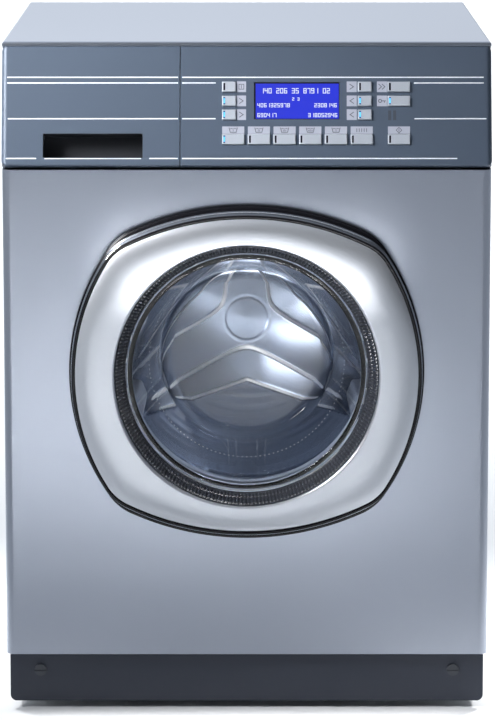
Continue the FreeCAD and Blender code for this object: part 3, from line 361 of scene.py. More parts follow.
dress = {
    silver: ["side_panel_left", "side_panel_right", "front_panel", "top_panel"],
    zinc: ["rear_panel", "base_frame", "hinge_bracket", "damper_cylinders"],
    bright_steel: ["hinge_pin", "damper_rods", "shaft_bearings", "motor_rotor",
                   "suspension_springs"],
    fastener_grey: ["plinth_fastener_left", "plinth_fastener_right"],
    fascia_grey: ["control_fascia", "drawer_front"],
    key_silver: [name for name in frame["nodes"] if name.startswith("key_")],
    plinth_grey: ["plinth"],
    display_edge: ["display_module"],
    bezel_satin: ["door_bezel"],
    frame_black: ["door_frame", "door_hook", "door_lock"],
    bowl_glass: ["door_glass"],
    rubber_grey: ["door_gasket"],
    rubber_black: ["drive_belt", "sump_hose", "dispenser_hose", "drain_hose"],
    soft_white: ["drawer_tray", "drawer_housing", "pump_filter", "drain_pump", "inlet_valve"],
    tub_grey: ["tub_front", "tub_rear"],
    stainless: ["drum", "heater"],
    paddle_steel: ["drum_lifters"],
    concrete: ["counterweights"],
    cast_alloy: ["drum_spider", "drum_pulley"],
    motor_black: ["motor"],
    foot_black: ["levelling_feet", "mains_inlet"],
}
for finish, names in dress.items():
    for name in names:
        slots = frame["nodes"][name].data.materials
        slots.clear()
        slots.append(finish)


# Door

def door_arcs(grow_x, grow_z):
    """The door outline's arcs as (centre x, centre z, radius, start angle, end angle)."""
    side_radius, top_radius = door_side_radius + grow_x, door_top_radius + grow_z
    corner_radius = door_corner_radius + grow_x
    side_centre = door_side_radius - door_half_width
    top_centre = door_top_radius - door_half_height
    reach_side, reach_top = side_radius - corner_radius, top_radius - corner_radius
    apart = math.hypot(side_centre, top_centre)
    along_line = (reach_side ** 2 - reach_top ** 2 + apart ** 2) / (2 * apart)
    off_line = math.sqrt(reach_side ** 2 - along_line ** 2)
    step_x, step_z = side_centre / apart, -top_centre / apart
    corner_x = -side_centre + along_line * step_x - off_line * step_z
    corner_z = along_line * step_z + off_line * step_x
    low = math.atan2(corner_z, corner_x + side_centre)
    high = math.atan2(corner_z + top_centre, corner_x)
    quarter = [(-side_centre, 0, side_radius, -low, low),
               (corner_x, corner_z, corner_radius, low, high),
               (0, -top_centre, top_radius, high, math.pi - high),
               (-corner_x, corner_z, corner_radius, math.pi - high, math.pi - low)]
    return quarter + [(-x, -z, radius, start + math.pi, end + math.pi)
                      for x, z, radius, start, end in quarter]


def door_outline(grow_x, grow_z):
    """Points round the door from its centre, the same number for any growth."""
    loop, steps = [], 28
    for x, z, radius, start, end in door_arcs(grow_x, grow_z):
        for k in range(steps):
            turn = start + (end - start) * k / steps
            loop.append((x + radius * math.cos(turn), z + radius * math.sin(turn)))
    return loop


def round_door(loop, depth):
    """A loop of points round the door's centre, placed at a depth."""
    return [at(x, depth, door_z + z) for x, z in loop]


def rim_loop(grow, depth):
    """A loop round the rim: growth is sideways, and larger up and down as the rim flares."""
    lift = door_flare_up / door_flare if grow > 0 else 1.0
    return round_door(door_outline(grow, grow * lift), depth)


def face_loop(share, depth):
    """A loop on the door's face, from the ring at share 0 to the face's edge at share 1."""
    edge = door_outline(-face_edge, -face_edge)
    loop = []
    for x, z in edge:
        turn = math.atan2(z, x)
        ring_x, ring_z = ring_radius * math.cos(turn), ring_radius * math.sin(turn)
        loop.append((ring_x + (x - ring_x) * share, ring_z + (z - ring_z) * share))
    return round_door(loop, depth)


def make_door_face():
    """Satin face: a rounded lip at the ring, then a crown that falls ever more to its edge."""
    crown, fall, steepness, thick = ring_depth - 3.5, 6.5, 4.0, 1.6
    first, steps = 0.08, 30
    reach = 1 - first
    lip = [(0.0, ring_depth + 1.2), (0.004, ring_depth - 1.2), (0.014, ring_depth - 2.5),
           (0.035, ring_depth - 3.2), (0.06, crown)]
    shares = [first + reach * k / steps for k in range(steps + 1)]
    front = lip + [(share, crown + fall * ((share - first) / reach) ** steepness)
                   for share in shares]
    rows = [face_loop(share, depth) for share, depth in front]
    rows += [face_loop(share, depth + thick) for share, depth in reversed(front)]
    face = swept("door_face", rows, bezel_satin, "door")
    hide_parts("door_bezel")


def make_door_rim():
    """Black band round the face, a bright ledge behind it and a black foot."""
    band = [(-face_edge - 1.6, -28.5), (-face_edge, -30.4), (-3.0, -31.4), (-1.4, -31.6),
            (-0.3, -31.0), (0.2, -29.8), (0.1, -28.4), (-face_edge - 1.6, -27.0)]
    foot = [(0.9, -12.4), (2.2, -12.0), (3.4, -10.6), (4.0, -8.4), (3.9, -7.0), (0.9, -7.0)]
    ledge = [(-0.6, -28.8), (0.2, -28.2), (0.7, -25.0), (1.0, -21.0), (1.05, -19.8), (1.5, -18.8),
             (1.7, -15.0), (1.9, -12.0), (0.0, -12.0), (-1.6, -28.0)]
    for name, profile, finish in (("door_rim_band", band, rim_black),
                                  ("door_rim_foot", foot, rim_black),
                                  ("door_rim_ledge", ledge, rim_bright)):
        piece = swept(name, [rim_loop(grow, depth) for grow, depth in profile], finish, "door")


def make_ribbed_ring():
    """Dark cone inside the face's opening with fine rounded ribs."""
    ribs, per_rib, rib_height, lift, sunk, room = 220, 6, 1.9, 0.2, -0.1, 0.3
    run = Vector((ring_inner_radius - ring_radius, ring_inner_depth - ring_depth))
    out = Vector((-run.y, run.x)).normalized()
    shares = [0.0, 0.10, 0.13, 0.50, 0.53, 0.57, 0.60, 0.88, 0.91, 1.0]
    ribbed = [0, 0, 1, 1, 0, 0, 1, 1, 0, 0]
    columns = ribs * per_rib

    def loop(share, heights):
        points = []
        for k in range(columns):
            high = heights[k % per_rib]
            radius = ring_radius - room + run.x * share + out.x * high
            depth = ring_depth + run.y * share + out.y * high
            turn = 2 * math.pi * k / columns
            points.append(round_axis(radius, turn, depth))
        return points

    crest = [lift + rib_height * math.sin(math.pi * k / per_rib) for k in range(per_rib)]
    rows = [loop(share, crest if rib else [lift] * per_rib)
            for share, rib in zip(shares, ribbed)]
    rows += [loop(share, [sunk] * per_rib) for share in (1.0, 0.0)]
    ring = swept("door_ribbed_ring", rows, ring_black, "door")


def make_glass():
    """Clear deep bowl with a flat rim."""
    mouth, bottom = bowl_mouth_radius - bowl_wall, bowl_depth - bowl_wall
    outer = [(bowl_rim_radius, bowl_rim_front, 0), (bowl_rim_radius, bowl_rim_back, 0.8),
             (bowl_mouth_radius, bowl_rim_back, 1.5), (bowl_tip_radius, bowl_depth, bowl_round),
             (0, bowl_depth, 0)]
    inner = [(0, bottom, 0), (bowl_tip_radius - bowl_wall, bottom, bowl_round - bowl_wall),
             (mouth, bowl_rim_back, 4), (mouth, bowl_rim_front, 2.5),
             (bowl_rim_radius - 1, bowl_rim_front, 0)]
    bowl = lathe("door_bowl", rounded_path(outer) + rounded_path(inner), bowl_glass, "door",
                 steps=192)
    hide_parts("door_glass")


def make_glass_dots():
    """A ring of small moulded dots round the bowl."""
    dots, sides, size, proud, depth = 136, 8, 1.1, 0.8, 77.0
    dome = ((1.0, -0.6), (1.0, 0.1), (0.7, 0.75), (0.0, 1.0))
    share = (depth - bowl_rim_back) / (bowl_depth - bowl_rim_back)
    radius = bowl_mouth_radius + (bowl_tip_radius - bowl_mouth_radius) * share
    points, faces = [], []
    for dot in range(dots):
        turn, base = 2 * math.pi * dot / dots, len(points)
        for reach, high in dome:
            for k in range(sides):
                way = 2 * math.pi * k / sides
                around = turn + reach * size * math.cos(way) / radius
                out = radius + high * proud
                points.append(round_axis(out, around, depth + reach * size * math.sin(way)))
        faces.append(tuple(base + k for k in range(sides)))
        for row in range(len(dome) - 1):
            for k in range(sides):
                n, low = (k + 1) % sides, base + sides * row
                faces.append((low + k, low + n, low + sides + n, low + sides + k))
    add_mesh("door_bowl_dots", points, faces, dot_white, "door", smooth=True)


def make_seal():
    """Rubber seal: a rounded lip in the panel's opening and soft folds back to the tub."""
    outer, inner, wall, end = 169.5, 154.0, 4.0, 56.0
    lip_front, lip_back = -1.0, 8.0
    fold, fold_round, parts = 8.0, 3.4, 4
    step = (end - 2 * lip_back) / parts
    folds = [(outer - fold * (k % 2), lip_back + k * step, fold_round) for k in range(1, parts)]
    outside = [(outer, lip_front, 0), (outer, lip_back, 2)] + folds
    outside += [(outer, end - lip_back, 2), (outer, end, 0)]
    inside = [(outer - wall, end, 0), (outer - wall, end - lip_back, 2)]
    inside += [(radius - wall, depth, radii) for radius, depth, radii in reversed(folds)]
    inside += [(outer - wall, lip_back + 1, 1.2), (inner + 4, lip_back, 1.5),
               (inner, lip_back - 2, 1.6), (inner, 0.8, 1.6), (inner + 3, lip_front, 1.2),
               (outer - 1, lip_front, 0)]
    seal = lathe("door_seal", rounded_path(outside) + rounded_path(inside), rubber_grey, None,
                 steps=160)
    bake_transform(seal)
    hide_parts("door_gasket")


# Drum

def ease(value, low, high):
    """0 below low, 1 above high, with a smooth step between."""
    share = min(max((value - low) / (high - low), 0.0), 1.0)
    return share * share * (3 - 2 * share)


def make_drum_shell():
    """Perforated cylinder and rolled front ring."""
    around, along, hole = 108, 22, 2.4
    inside = drum_radius - drum_sheet
    first, last = drum_front + drum_plain, drum_back - drum_plain
    points, faces = [], []
    square = [(-1, -1), (0, -1), (1, -1), (1, 0), (1, 1), (0, 1), (-1, 1), (-1, 0)]
    sides = len(square)
    step_turn, step_depth = 2 * math.pi / around, (last - first) / along
    for a in range(around):
        for b in range(along):
            turn, depth = (a + 0.5) * step_turn, first + (b + 0.5) * step_depth
            base = len(points)
            for reach in ("cell", "hole"):
                for p, q in square:
                    if reach == "cell":
                        d_turn, d_depth = p * step_turn / 2, q * step_depth / 2
                    else:
                        length = math.hypot(p, q)
                        d_turn, d_depth = p / length * hole / inside, q / length * hole
                    points.append(round_axis(inside, turn + d_turn, depth + d_depth))
            for k in range(sides):
                n = (k + 1) % sides
                faces.append((base + k, base + n, base + sides + n, base + sides + k))
    shell = add_mesh("drum_shell", points, faces, stainless, "drum_assembly", smooth=True)
    thick = shell.modifiers.new("sheet", "SOLIDIFY")
    thick.thickness = drum_sheet * MM
    thick.offset = 0
    mouth = drum_mouth_radius
    front = lathe("drum_front_ring", [
        (drum_radius - 0.4, first), (drum_radius - 0.4, drum_front + 8),
        (drum_radius - 4, drum_front + 2), (drum_radius - 10, drum_front),
        (mouth + 16, drum_front), (mouth + 9, drum_front - 2.5), (mouth + 3, drum_front - 2),
        (mouth, drum_front + 1.5), (mouth + 1, drum_front + 5), (mouth + 3, drum_front + 4),
        (mouth + 10, drum_front + 1.6), (drum_radius - 12, drum_front + 1.6),
        (drum_radius - 2.4, drum_front + 10), (drum_radius - 2.4, first)],
        stainless, "drum_assembly", steps=144)
    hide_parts("drum")


def back_lines(radius, turn):
    """Where a point of the drum's back lies in its sector.

    Gives its distance across the sector, where the ridge is there, and how far the point
    is past the ridge and past the brink of the sunk part.
    """
    apex, ridge_start, ridge_slope, brink_start, brink_slope = 16.0, 36, 0.6, 84, 0.364
    middle = max((math.radians(sector) for sector in (30, 150, 270)),
                 key=lambda way: math.cos(turn - way))
    along, across = radius * math.cos(turn - middle), abs(radius * math.sin(turn - middle))
    ridge = ridge_start + ridge_slope * (math.hypot(across, apex) - apex)
    brink = brink_start + brink_slope * across
    return across, ridge, along - ridge, along - brink


def back_relief(radius, turn):
    """Height of the pressed back: a coned star, bands that rise to a lip, three sunk sectors."""
    hub, cone, step, rise, lip = 14.0, 0.06, 1.6, 3.0, 1.3
    step_width, lip_width, drop_width = 6, 5, 3
    ripple, ripple_rate, ripple_from, ripple_to = 0.1, 0.45, 6, 14
    groove_depth, groove_radius, groove_half = 0.3, 30, 2
    flat_from, flat_to = 204, 228
    across, ridge, past_ridge, past_brink = back_lines(radius, turn)
    if past_ridge <= 0:
        high = hub - cone * radius
    else:
        share = min(past_ridge / (past_ridge - past_brink), 1.0) if past_brink < 0 else 1.0
        high = hub - cone * math.hypot(ridge, across)
        high = high + step * ease(past_ridge, 0, step_width) + rise * share
        drop = ease(past_brink, 0, drop_width)
        high = (high + lip * ease(past_brink, -lip_width, 0)) * (1 - drop)
    rings = ripple * math.cos(radius * ripple_rate) * ease(past_brink, ripple_from, ripple_to)
    groove = (groove_depth * ease(radius, groove_radius - groove_half, groove_radius)
              * (1 - ease(radius, groove_radius, groove_radius + groove_half)))
    return (high + rings - groove) * (1 - ease(radius, flat_from, flat_to))


def make_drum_back():
    """Back wall of the drum with its pressed star, and painted highlights along the pressed edges.
    """
    steps, ring_step, ring_count = 360, 2, 118
    ridge_shift, ridge_width, brink_shift, brink_width = 2.5, 2.6, -2.0, 2.0
    fade_from, fade_to = 170, 200
    middle, skirt_inside, skirt_outside = 0.01, drum_radius - 1.2, drum_radius - 0.2
    skirt_front = drum_back - drum_plain
    radii = [middle] + [ring_step * k for k in range(1, ring_count + 1)] + [skirt_inside]
    turns = full_turn(steps)
    rim = drum_back - drum_sheet
    rows = [[round_axis(radius, turn, rim - back_relief(radius, turn)) for turn in turns]
            for radius in radii]
    edge = [[round_axis(radius, turn, depth) for turn in turns]
            for radius, depth in ((skirt_inside, skirt_front), (skirt_outside, skirt_front),
                                  (skirt_outside, drum_back), (middle, drum_back))]
    back = swept("drum_back", rows + edge, pressed_steel, "drum_assembly")
    # Painted highlight: strongest on the ridge and brink lines, fading towards the rim
    painted_highlight = back.data.attributes.new("painted_highlight", "FLOAT", "POINT")
    for number, vertex in enumerate(back.data.vertices):
        x, z = vertex.co.x / MM, vertex.co.z / MM - door_z
        radius = math.hypot(x, z)
        _, _, past_ridge, past_brink = back_lines(radius, math.atan2(z, x))
        on_ridge = math.exp(-((past_ridge - ridge_shift) / ridge_width) ** 2)
        on_brink = math.exp(-((past_brink - brink_shift) / brink_width) ** 2)
        fade = ease(radius, fade_from, fade_to)
        painted_highlight.data[number].value = min(on_ridge + on_brink, 1.0) * (1 - fade)


def make_lifters():
    """Three rounded paddles."""
    half, high, shoulder, shoulder_round, crest, crest_round = 35.0, 55.0, 28.0, 6, 13.0, 11.0
    wall_room, base_room, end_room = 1.5, 0.3, 18
    base = math.sqrt((drum_radius - wall_room) ** 2 - half ** 2) - base_room
    start, end = drum_front + end_room, drum_back - end_room
    ends = [(0, 0.3), (2, 0.5), (6, 0.72), (13, 0.9), (24, 1.0)]
    stations = [(start + d, s) for d, s in ends] + [(end - d, s) for d, s in reversed(ends)]
    for number, middle in enumerate((90, 210, 330), 1):
        turn = math.radians(middle - 90)
        rows = []
        for depth, share in stations:
            top = high * share
            right = [(crest, base - top, crest_round * share),
                     (shoulder, base - top / 2, shoulder_round), (half, base, 0)]
            left = [(-x, z, radius) for x, z, radius in reversed(right)]
            profile = rounded_path(left + right)
            rows.append([at(x * math.cos(turn) - z * math.sin(turn), depth,
                            door_z + x * math.sin(turn) + z * math.cos(turn)) for x, z in profile])
        paddle = swept("drum_lifter_%d" % number, rows, paddle_steel, "drum_assembly", capped=True)
        if number == 1:
            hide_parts("drum_lifters")


# Hoses and springs between the cabinet and the hanging tub

def make_hoses():
    """Corrugated upright hoses with plain cuffs."""
    pitch, cuff, dip, wall, steps, per_fold = 6.0 * MM, 9.0 * MM, 1.8 * MM, 3.6 * MM, 48, 8
    for node, below, above in (("sump_hose", "cabinet", "tub"),
                               ("dispenser_hose", "tub", "cabinet")):
        low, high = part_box(node)
        x, y, radius = (low.x + high.x) / 2, (low.y + high.y) / 2, (high.x - low.x) / 2
        ends = min(cuff, (high.z - low.z) / 4)
        folds = max(round((high.z - low.z - 2 * ends) / pitch), 1)
        step = (high.z - low.z - 2 * ends) / (per_fold * folds)
        outside = [(radius, low.z)]
        outside += [(radius - dip * (1 - math.cos(2 * math.pi * k / per_fold)) / 2,
                     low.z + ends + k * step) for k in range(per_fold * folds + 1)]
        outside.append((radius, high.z))
        profile = outside + [(radius - wall, high.z), (radius - wall, low.z)]
        rows = [[Vector((x + r * math.cos(turn), y + r * math.sin(turn), z))
                 for turn in full_turn(steps)] for r, z in profile]
        hose = swept(node + "_bellows", rows, rubber_black, None)
        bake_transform(hose)
        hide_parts(node)


def make_springs():
    """Two coil springs that carry the tub, hooked to the cabinet's brackets."""
    wire, coil, pitch, per_turn, around = 2.0 * MM, 10.0 * MM, 6.5 * MM, 24, 10
    low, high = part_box("suspension_springs")
    y, bottom, top = (low.y + high.y) / 2, low.z + wire, high.z - wire
    turns = round((top - bottom) / pitch)
    for name, x in (("suspension_spring_left", low.x + coil + wire),
                    ("suspension_spring_right", high.x - coil - wire)):
        rows = []
        for k in range(turns * per_turn + 1):
            turn = 2 * math.pi * k / per_turn
            out = Vector((math.cos(turn), math.sin(turn), 0))
            middle = Vector((x, y, bottom + (top - bottom) * k / (turns * per_turn))) + coil * out
            rows.append([middle + wire * (out * math.cos(way) + Vector((0, 0, math.sin(way))))
                         for way in full_turn(around)])
        spring = swept(name, rows, bright_steel, None, capped=True)
        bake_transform(spring)
        if x < 0:
            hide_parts("suspension_springs")


# Marks on the fascia

wide_key, key_proud = 27.0, 2.2
left_column, right_column, far_column = -30.0, 136.0, 172.5
rows_up = {1: 91.0, 2: 73.5, 3: 56.5}
program_row, program_first, program_pitch = 26.0, -30.0, 31.4
keys = {}
for number, up in rows_up.items():
    keys["key_left_%d" % number] = (left_column, up)
    keys["key_right_%d" % number] = (right_column, up)
for number in range(1, 7):
    keys["key_program_%d" % number] = (program_first + (number - 1) * program_pitch, program_row)
keys["key_skip"] = (far_column, rows_up[1])
keys["key_door"] = (far_column, rows_up[2])
keys["key_start"] = (far_column, program_row)
glowing = ["key_left_2", "key_left_3", "key_right_2", "key_right_3", "key_door", "key_program_1"]


def make_stripes():
    """Thin printed lines across the drawer front and the controls."""
    half, proud = 0.7, 0.12
    high, second, middle, foot = 109, 102, 57.8, 8.7
    drawer_end, control_start, keys_start = -84, -79, -38
    drawer, control = Plates(proud), Plates(proud)
    for v, x0, x1 in ((high, -293, drawer_end), (second, -293, drawer_end),
                      (middle, -292, drawer_end), (foot, -294, -257), (foot, -119, drawer_end)):
        drawer.rect(x0, x1, v - half, v + half)
    for v, x0, x1 in ((high, control_start, 290), (second, control_start, keys_start),
                      (second, 204.5, 290), (middle, control_start, keys_start),
                      (middle, 205, 293), (foot, control_start, 257)):
        control.rect(x0, x1, v - half, v + half)
    drawer.make("drawer_stripes", white_print, "drawer")
    control.make("control_stripes", white_print, "cabinet")


def draw_icon(ink, kind, x, v, wide, high):
    """A small symbol in the middle of a legend tile; a digit draws a tub with that many dots."""
    cx, cv = x + wide / 2, v + high / 2
    bold, plain, fine, thin = 1.0, 0.9, 0.8, 0.7
    if kind in ("next", "previous"):
        tip = 2.2 if kind == "next" else -2.2
        ink.stroke([(cx - tip, cv + 3), (cx + tip, cv), (cx - tip, cv - 3)], bold)
    elif kind == "skip":
        for shift in (-2.2, 2.0):
            ink.stroke([(cx + shift - 1.6, cv + 3), (cx + shift + 1.6, cv),
                        (cx + shift - 1.6, cv - 3)], bold)
    elif kind == "window":
        ink.stroke([(cx - 3, cv - 3), (cx + 3, cv - 3), (cx + 3, cv + 3), (cx - 3, cv + 3),
                    (cx - 3, cv - 3)], plain)
        ink.stroke([(cx, cv - 1.6), (cx, cv + 1.6)], plain)
    elif kind == "door":
        ink.ring(cx - 2.4, cv, 1.9, plain)
        ink.stroke([(cx - 0.4, cv), (cx + 4.2, cv)], plain)
        ink.stroke([(cx + 3.0, cv - 1.8), (cx + 3.0, cv)], plain)
    elif kind == "start":
        ink.stroke([(cx, cv + 3.6), (cx + 3.4, cv), (cx, cv - 3.6), (cx - 3.4, cv),
                    (cx, cv + 3.6)], fine)
        ink.stroke([(cx, cv - 1.4), (cx, cv + 1.4)], fine)
    elif kind == "strokes":
        for shift in (-6, -3, 0, 3, 6):
            ink.stroke([(cx + shift, cv - 1.8), (cx + shift, cv + 1.8)], plain)
    else:
        ink.stroke([(cx - 5, cv + 2.8), (cx - 3.6, cv - 2.6), (cx + 3.6, cv - 2.6),
                    (cx + 5, cv + 2.8)], plain)
        ink.stroke([(cx - 4.4, cv + 1.4), (cx - 2.2, cv + 2.1), (cx, cv + 1.4),
                    (cx + 2.2, cv + 2.1), (cx + 4.4, cv + 1.4)], thin)
        for dot in range(int(kind)):
            shift = (dot - (int(kind) - 1) / 2) * 1.5
            ink.stroke([(cx + shift, cv - 1.2), (cx + shift, cv)], thin)


def make_legends():
    """Pale tiles beside and above the keys, with dark symbols."""
    tiles, ink, slots = Plates(0.15), Plates(0.3), Plates(0.1)
    side_drop, side_high, top_low, top_high = 0.3, 13.2, 39.0, 9.2
    slot_width, slot_low, slot_top = 3.7, 56, 68
    beside = {"left": (-12.2, 11.4, ("window", "next", "next")),
              "right": (122.3, 12.3, ("next", "previous", "previous")),
              "far": (159.3, 12.3, ("skip", "door"))}
    for x, wide, kinds in beside.values():
        for number, kind in enumerate(kinds, 1):
            v = rows_up[number] - side_drop
            tiles.rect(x, x + wide, v, v + side_high)
            draw_icon(ink, kind, x, v, wide, side_high)
    above = {"key_program_%d" % number: kind for number, kind in
             enumerate(("1", "2", "3", "4", "1", "strokes"), 1)}
    above["key_start"] = "start"
    for name, kind in above.items():
        x = keys[name][0]
        tiles.rect(x, x + wide_key, top_low, top_low + top_high)
        draw_icon(ink, kind, x, top_low, wide_key, top_high)
    for x in (172.9, 179.0):
        slots.rect(x, x + slot_width, slot_low, slot_top)
    tiles.make("legend_tiles", legend_grey, "cabinet")
    ink.make("legend_symbols", legend_ink, "cabinet")
    slots.make("lamp_slots", slot_dark, "cabinet")


def make_key_lamps():
    """Slit lamps at the keys' left ends; they move with the keys."""
    slit_left, slit_right, slit_low, slit_top, slit_proud = 1.5, 3.7, 1.7, 10.7, 0.08
    glow_left, glow_right, glow_low, glow_top, glow_proud = 1.7, 3.5, 3.2, 9.2, 0.16
    sunk = 0.2 - key_proud
    for name, (x, v) in keys.items():
        slit = Plates(key_proud + slit_proud, sunk)
        slit.rect(x + slit_left, x + slit_right, v + slit_low, v + slit_top)
        on = name in glowing
        slit.make(name + "_slit", lamp_edge if on else lamp_off, name + "_body")
        if on:
            glow = Plates(key_proud + glow_proud, sunk)
            glow.rect(x + glow_left, x + glow_right, v + glow_low, v + glow_top)
            glow.make(name + "_glow", lamp_on, name + "_body")


segments = {"0": "abcdef", "1": "bc", "2": "abged", "3": "abgcd", "4": "fgbc", "5": "afgcd",
            "6": "afgedc", "7": "abc", "8": "abcdefg", "9": "abcdfg"}


def draw_digits(marks, text, x, v, wide, high, pitch, stroke):
    """A row of seven-segment digits from its lower left corner."""
    for number, figure in enumerate(text):
        left, right = x + number * pitch, x + number * pitch + wide
        middle, top = v + high / 2, v + high
        lines = {"a": ((left, top), (right, top)), "b": ((right, middle), (right, top)),
                 "c": ((right, v), (right, middle)), "d": ((left, v), (right, v)),
                 "e": ((left, v), (left, middle)), "f": ((left, middle), (left, top)),
                 "g": ((left, middle), (right, middle))}
        for segment in segments.get(figure, ""):
            marks.stroke(lines[segment], stroke)


def make_display():
    """Lit window with rows of figures and a dark edge."""
    edge, face, marks = Plates(-0.75, 1.0), Plates(-0.6, 0.9), Plates(-0.5, 0.62)
    edge.rect(9.2, 113.3, 57.2, 102.8)
    face.rect(11.0, 112.6, 57.9, 101.2)
    large, small, plain = (2.9, 5.6, 4.75, 0.95), (1.8, 3.2, 3.2, 0.7), (2.4, 4.2, 4.05, 0.8)
    rows = [("140 206 35 8791 02", 17.6, 89.6, large), ("2 3", 56.0, 80.6, small),
            ("4061325978", 13.4, 72.4, plain), ("2308146", 83.0, 72.4, plain),
            ("690417", 13.4, 60.2, plain), ("318052946", 75.4, 60.2, plain)]
    for figures, x, v, size in rows:
        draw_digits(marks, figures, x, v, *size)
    edge.make("display_edge", display_edge, "cabinet")
    face.make("display_face", display_blue, "cabinet")
    marks.make("display_figures", display_mark, "cabinet")


def make_recess_painted_shade():
    """Painted shade: a dark sheet over the floor and walls of the drawer's handle recess, and its
    pale lower edge.
    """
    x0, x1, v0, v1, deep, wall = -249.0, -127.0, 9.5, 39.5, 30.0, 0.5
    side_gap, floor_gap, floor_high, floor_low, brink = 0.05, 0.1, 0.4, 0.02, 0.3
    # Near-black sheet of painted shade over the recess's floor and walls
    shade_plates = Plates(floor_high - deep, deep - floor_low)
    shade_plates.rect(x0 + floor_gap, x1 - floor_gap, v0 + floor_gap, v1 - floor_gap)
    shade_plates.proud, shade_plates.sunk = -brink, deep - brink
    shade_plates.rect(x0 + side_gap, x0 + wall, v0 + side_gap, v1 - side_gap)
    shade_plates.rect(x1 - wall, x1 - side_gap, v0 + side_gap, v1 - side_gap)
    shade_plates.rect(x0 + wall, x1 - wall, v1 - wall, v1 - side_gap)
    shade_plates.rect(x0 + wall, x1 - wall, v0 + side_gap, v0 + wall)
    edge = Plates(0.25, 0.3)
    edge.rect(x0 + 2, x1 - 2, v0 - 1.5, v0 - 0.4)
    shade_plates.make("recess_shade", recess_painted_shade, "drawer")
    edge.make("recess_edge", white_print, "drawer")


# Back of the cabinet

class Blocks:
    """Collects upright boxes of the layout into one mesh."""

    def __init__(self):
        self.points, self.faces = [], []

    def add(self, x, depth, z):
        """A box between two values of each."""
        base = len(self.points)
        self.points += [at(a, b, c) for a in x for b in depth for c in z]
        for face in ((0, 1, 3, 2), (4, 6, 7, 5), (0, 4, 5, 1), (2, 3, 7, 6), (0, 2, 6, 4),
                     (1, 5, 7, 3)):
            self.faces.append(tuple(base + k for k in face))

    def make(self, name, finish, body):
        """The mesh object with all that was collected."""
        return add_mesh(name, self.points, self.faces, finish, body)


def make_back():
    """Service cover with screws, transit caps and vent slots on the rear panel."""
    wall, sunk, cover_thick = 600.0, 0.2, 1.6
    cover_half, cover_low, cover_top = 190, 150, 640
    vent_half, vent_low, vent_high, vent_pitch, vent_count = 120, 560, 3, 6.4, 10
    cover = Blocks()
    cover.add((-cover_half, cover_half), (wall - sunk, wall + cover_thick), (cover_low, cover_top))
    cover.make("back_cover", zinc, "cabinet")
    vents = Blocks()
    for number in range(vent_count):
        low = vent_low + vent_pitch * number
        vents.add((-vent_half, vent_half), (wall + cover_thick - sunk, wall + cover_thick + sunk),
                  (low, low + vent_high))
    vents.make("back_vents", slot_dark, "cabinet")
    screws = [(x, z) for x in (-178, 0, 178) for z in (162, 395, 628) if (x, z) != (0, 395)]
    screws += [(x, z) for x in (-284, 284) for z in (90, 330, 560, 795)]
    head = [(0, 0), (0, 2.2), (2.2, 2.1), (4.2, 1.2), (4.8, 0)]
    for number, (x, z) in enumerate(screws, 1):
        on_cover = abs(x) < cover_half and cover_low < z < cover_top
        seat = wall - sunk + (cover_thick if on_cover else 0.0)
        screw = lathe("back_screw_%d" % number, [(r, seat + d) for r, d in head],
                      screw_zinc, "cabinet", steps=20, x=x, z=z)
    cap = [(0, -0.2), (0, 3.0), (14, 3.0), (17, 1.8), (18, -0.2)]
    for number, (x, z) in enumerate(((-235, 250), (235, 250), (-235, 600), (235, 600)), 1):
        plug = lathe("transit_cap_%d" % number, [(r, wall + d) for r, d in cap],
                     soft_white, "cabinet", steps=40, x=x, z=z)


make_door_face()
make_door_rim()
make_ribbed_ring()
make_glass()
make_glass_dots()
make_seal()
make_drum_shell()
make_drum_back()
make_lifters()
make_hoses()
make_springs()
make_stripes()
make_legends()
make_key_lamps()
make_display()
make_recess_painted_shade()
make_back()


# Floor, light and camera

def make_floor():
    """Wide pale floor."""
    mesh = bpy.data.meshes.new("floor")
    reach = 30.0
    corners = [(-reach, -reach, 0), (reach, -reach, 0), (reach, reach, 0), (-reach, reach, 0)]
    mesh.from_pydata(corners, [], [(0, 1, 2, 3)])
    mesh.materials.append(floor_white)
    floor = bpy.data.objects.new("floor", mesh)
    scene.collection.objects.link(floor)


def make_world():
    """Soft sky, bright behind the machine and overhead, dimmer in front and to the sides."""
    world = bpy.data.worlds.new("studio")
    world.use_nodes = True
    nodes, links = world.node_tree.nodes, world.node_tree.links
    shade = nodes["Background"]
    shade.inputs["Color"].default_value = (0.85, 0.91, 1.0, 1)
    place = nodes.new("ShaderNodeTexCoord")
    split = nodes.new("ShaderNodeSeparateXYZ")
    side = nodes.new("ShaderNodeValToRGB")
    tones = side.color_ramp.elements
    tones[0].position, tones[0].color = 0.0, (0.22, 0.22, 0.22, 1)
    tones[1].position, tones[1].color = 1.0, (0.15, 0.15, 0.15, 1)
    for position, tone in ((0.3, 1.05), (0.5, 1.0), (0.78, 0.3)):
        tones.new(position).color = (tone, tone, tone, 1)
    spread = new_node(nodes, "ShaderNodeMapRange", From_Min=-1.0)
    behind = new_node(nodes, "ShaderNodeMapRange", From_Min=-0.3, From_Max=0.6,
                      To_Min=0.15, To_Max=1.13)
    above = new_node(nodes, "ShaderNodeMapRange", From_Min=0.5, From_Max=0.9, To_Max=0.32)
    both = nodes.new("ShaderNodeMath")
    both.operation = "MULTIPLY"
    total = nodes.new("ShaderNodeMath")
    links.new(place.outputs["Generated"], split.inputs["Vector"])
    links.new(split.outputs["X"], spread.inputs["Value"])
    links.new(spread.outputs["Result"], side.inputs["Fac"])
    links.new(split.outputs["Y"], behind.inputs["Value"])
    links.new(side.outputs["Color"], both.inputs[0])
    links.new(behind.outputs["Result"], both.inputs[1])
    links.new(split.outputs["Z"], above.inputs["Value"])
    links.new(both.outputs["Value"], total.inputs[0])
    links.new(above.outputs["Result"], total.inputs[1])
    links.new(total.outputs["Value"], shade.inputs["Strength"])
    scene.world = world


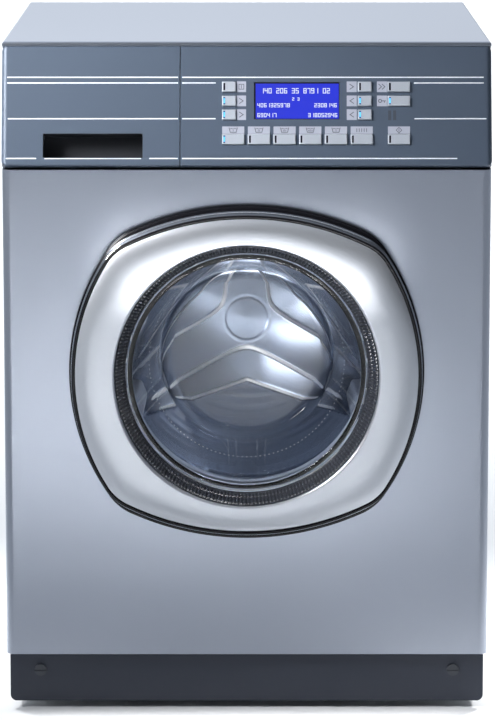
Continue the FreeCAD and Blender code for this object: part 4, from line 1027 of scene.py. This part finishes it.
def add_lamp(name, place, target, size, power, spread=180, mirrored=True):
    """A rectangular lamp aimed at a point, hidden from camera and glass; metal may mirror it."""
    lamp = bpy.data.lights.new(name, "AREA")
    lamp.shape = "RECTANGLE"
    lamp.size, lamp.size_y = size
    lamp.energy = power
    lamp.spread = math.radians(spread)
    made = bpy.data.objects.new(name, lamp)
    made.location = place
    made.visible_camera = made.visible_transmission = False
    made.visible_glossy = mirrored
    made.rotation_euler = (Vector(target) - Vector(place)).to_track_quat("-Z", "Y").to_euler()
    scene.collection.objects.link(made)


def make_camera():
    """Camera in front of the machine and above it, looking slightly down."""
    tilt_down = 8.78
    lens = bpy.data.cameras.new("camera")
    lens.lens = 181.25
    lens.sensor_width = 36.0
    lens.shift_x = 0.0011
    lens.shift_y = -0.15
    lens.clip_end = 200
    made = bpy.data.objects.new("camera", lens)
    made.location = (0, -4.691, 1.259)
    made.rotation_euler = (math.radians(90 - tilt_down), 0, 0)
    scene.collection.objects.link(made)
    scene.camera = made


make_floor()
make_world()
# The fascia, and the pool of light on the floor that the front panel mirrors
add_lamp("key_lamp", (-0.9, -0.75, 1.25), (-0.1, -0.3, 0.75), (0.5, 0.5), power=4.4, spread=62)
add_lamp("pool_lamp", (1.0, 0.1, 1.45), (-0.27, -2.15, 0), (0.25, 0.25), power=16.5, spread=25)
# The door's face, and the drum behind the glass
add_lamp("door_lamp", (0.3, -3.0, 1.15), (0, -0.3, 0.44), (0.06, 0.06), power=0.3, spread=5.4)
add_lamp("face_lamp", (0, -0.62, 0.45), (0, -0.32, 0.58), (0.34, 0.05), power=0.035, spread=22)
add_lamp("drum_lamp", (0.06, -0.16, 0.61), (0.02, 0.0, 0.2), (0.16, 0.05), power=0.45)
add_lamp("star_lamp", (0.1, -0.13, 0.362), (0.07, 0.1, 0.36), (0.07, 0.035), power=0.036)
# The floor behind and beside the machine, and at its foot
add_lamp("back_lamp", (0, 6.2, 3.0), (0, 6.2, 0), (3.0, 10.4), power=120, spread=90, mirrored=False)
add_lamp("side_lamp", (1.0, 0.8, 1.6), (0.48, -0.08, 0), (0.3, 0.3), power=2.3, spread=40)
add_lamp("left_lamp", (-1.0, 0.6, 1.6), (-0.5, 0.02, 0), (0.3, 0.3), power=1.8, spread=40)
add_lamp("foot_lamp", (0, -0.36, 0.2), (0, -0.345, 0), (0.56, 0.02), power=0.11, spread=32,
         mirrored=False)
make_camera()
scene.view_settings.view_transform = "Standard"
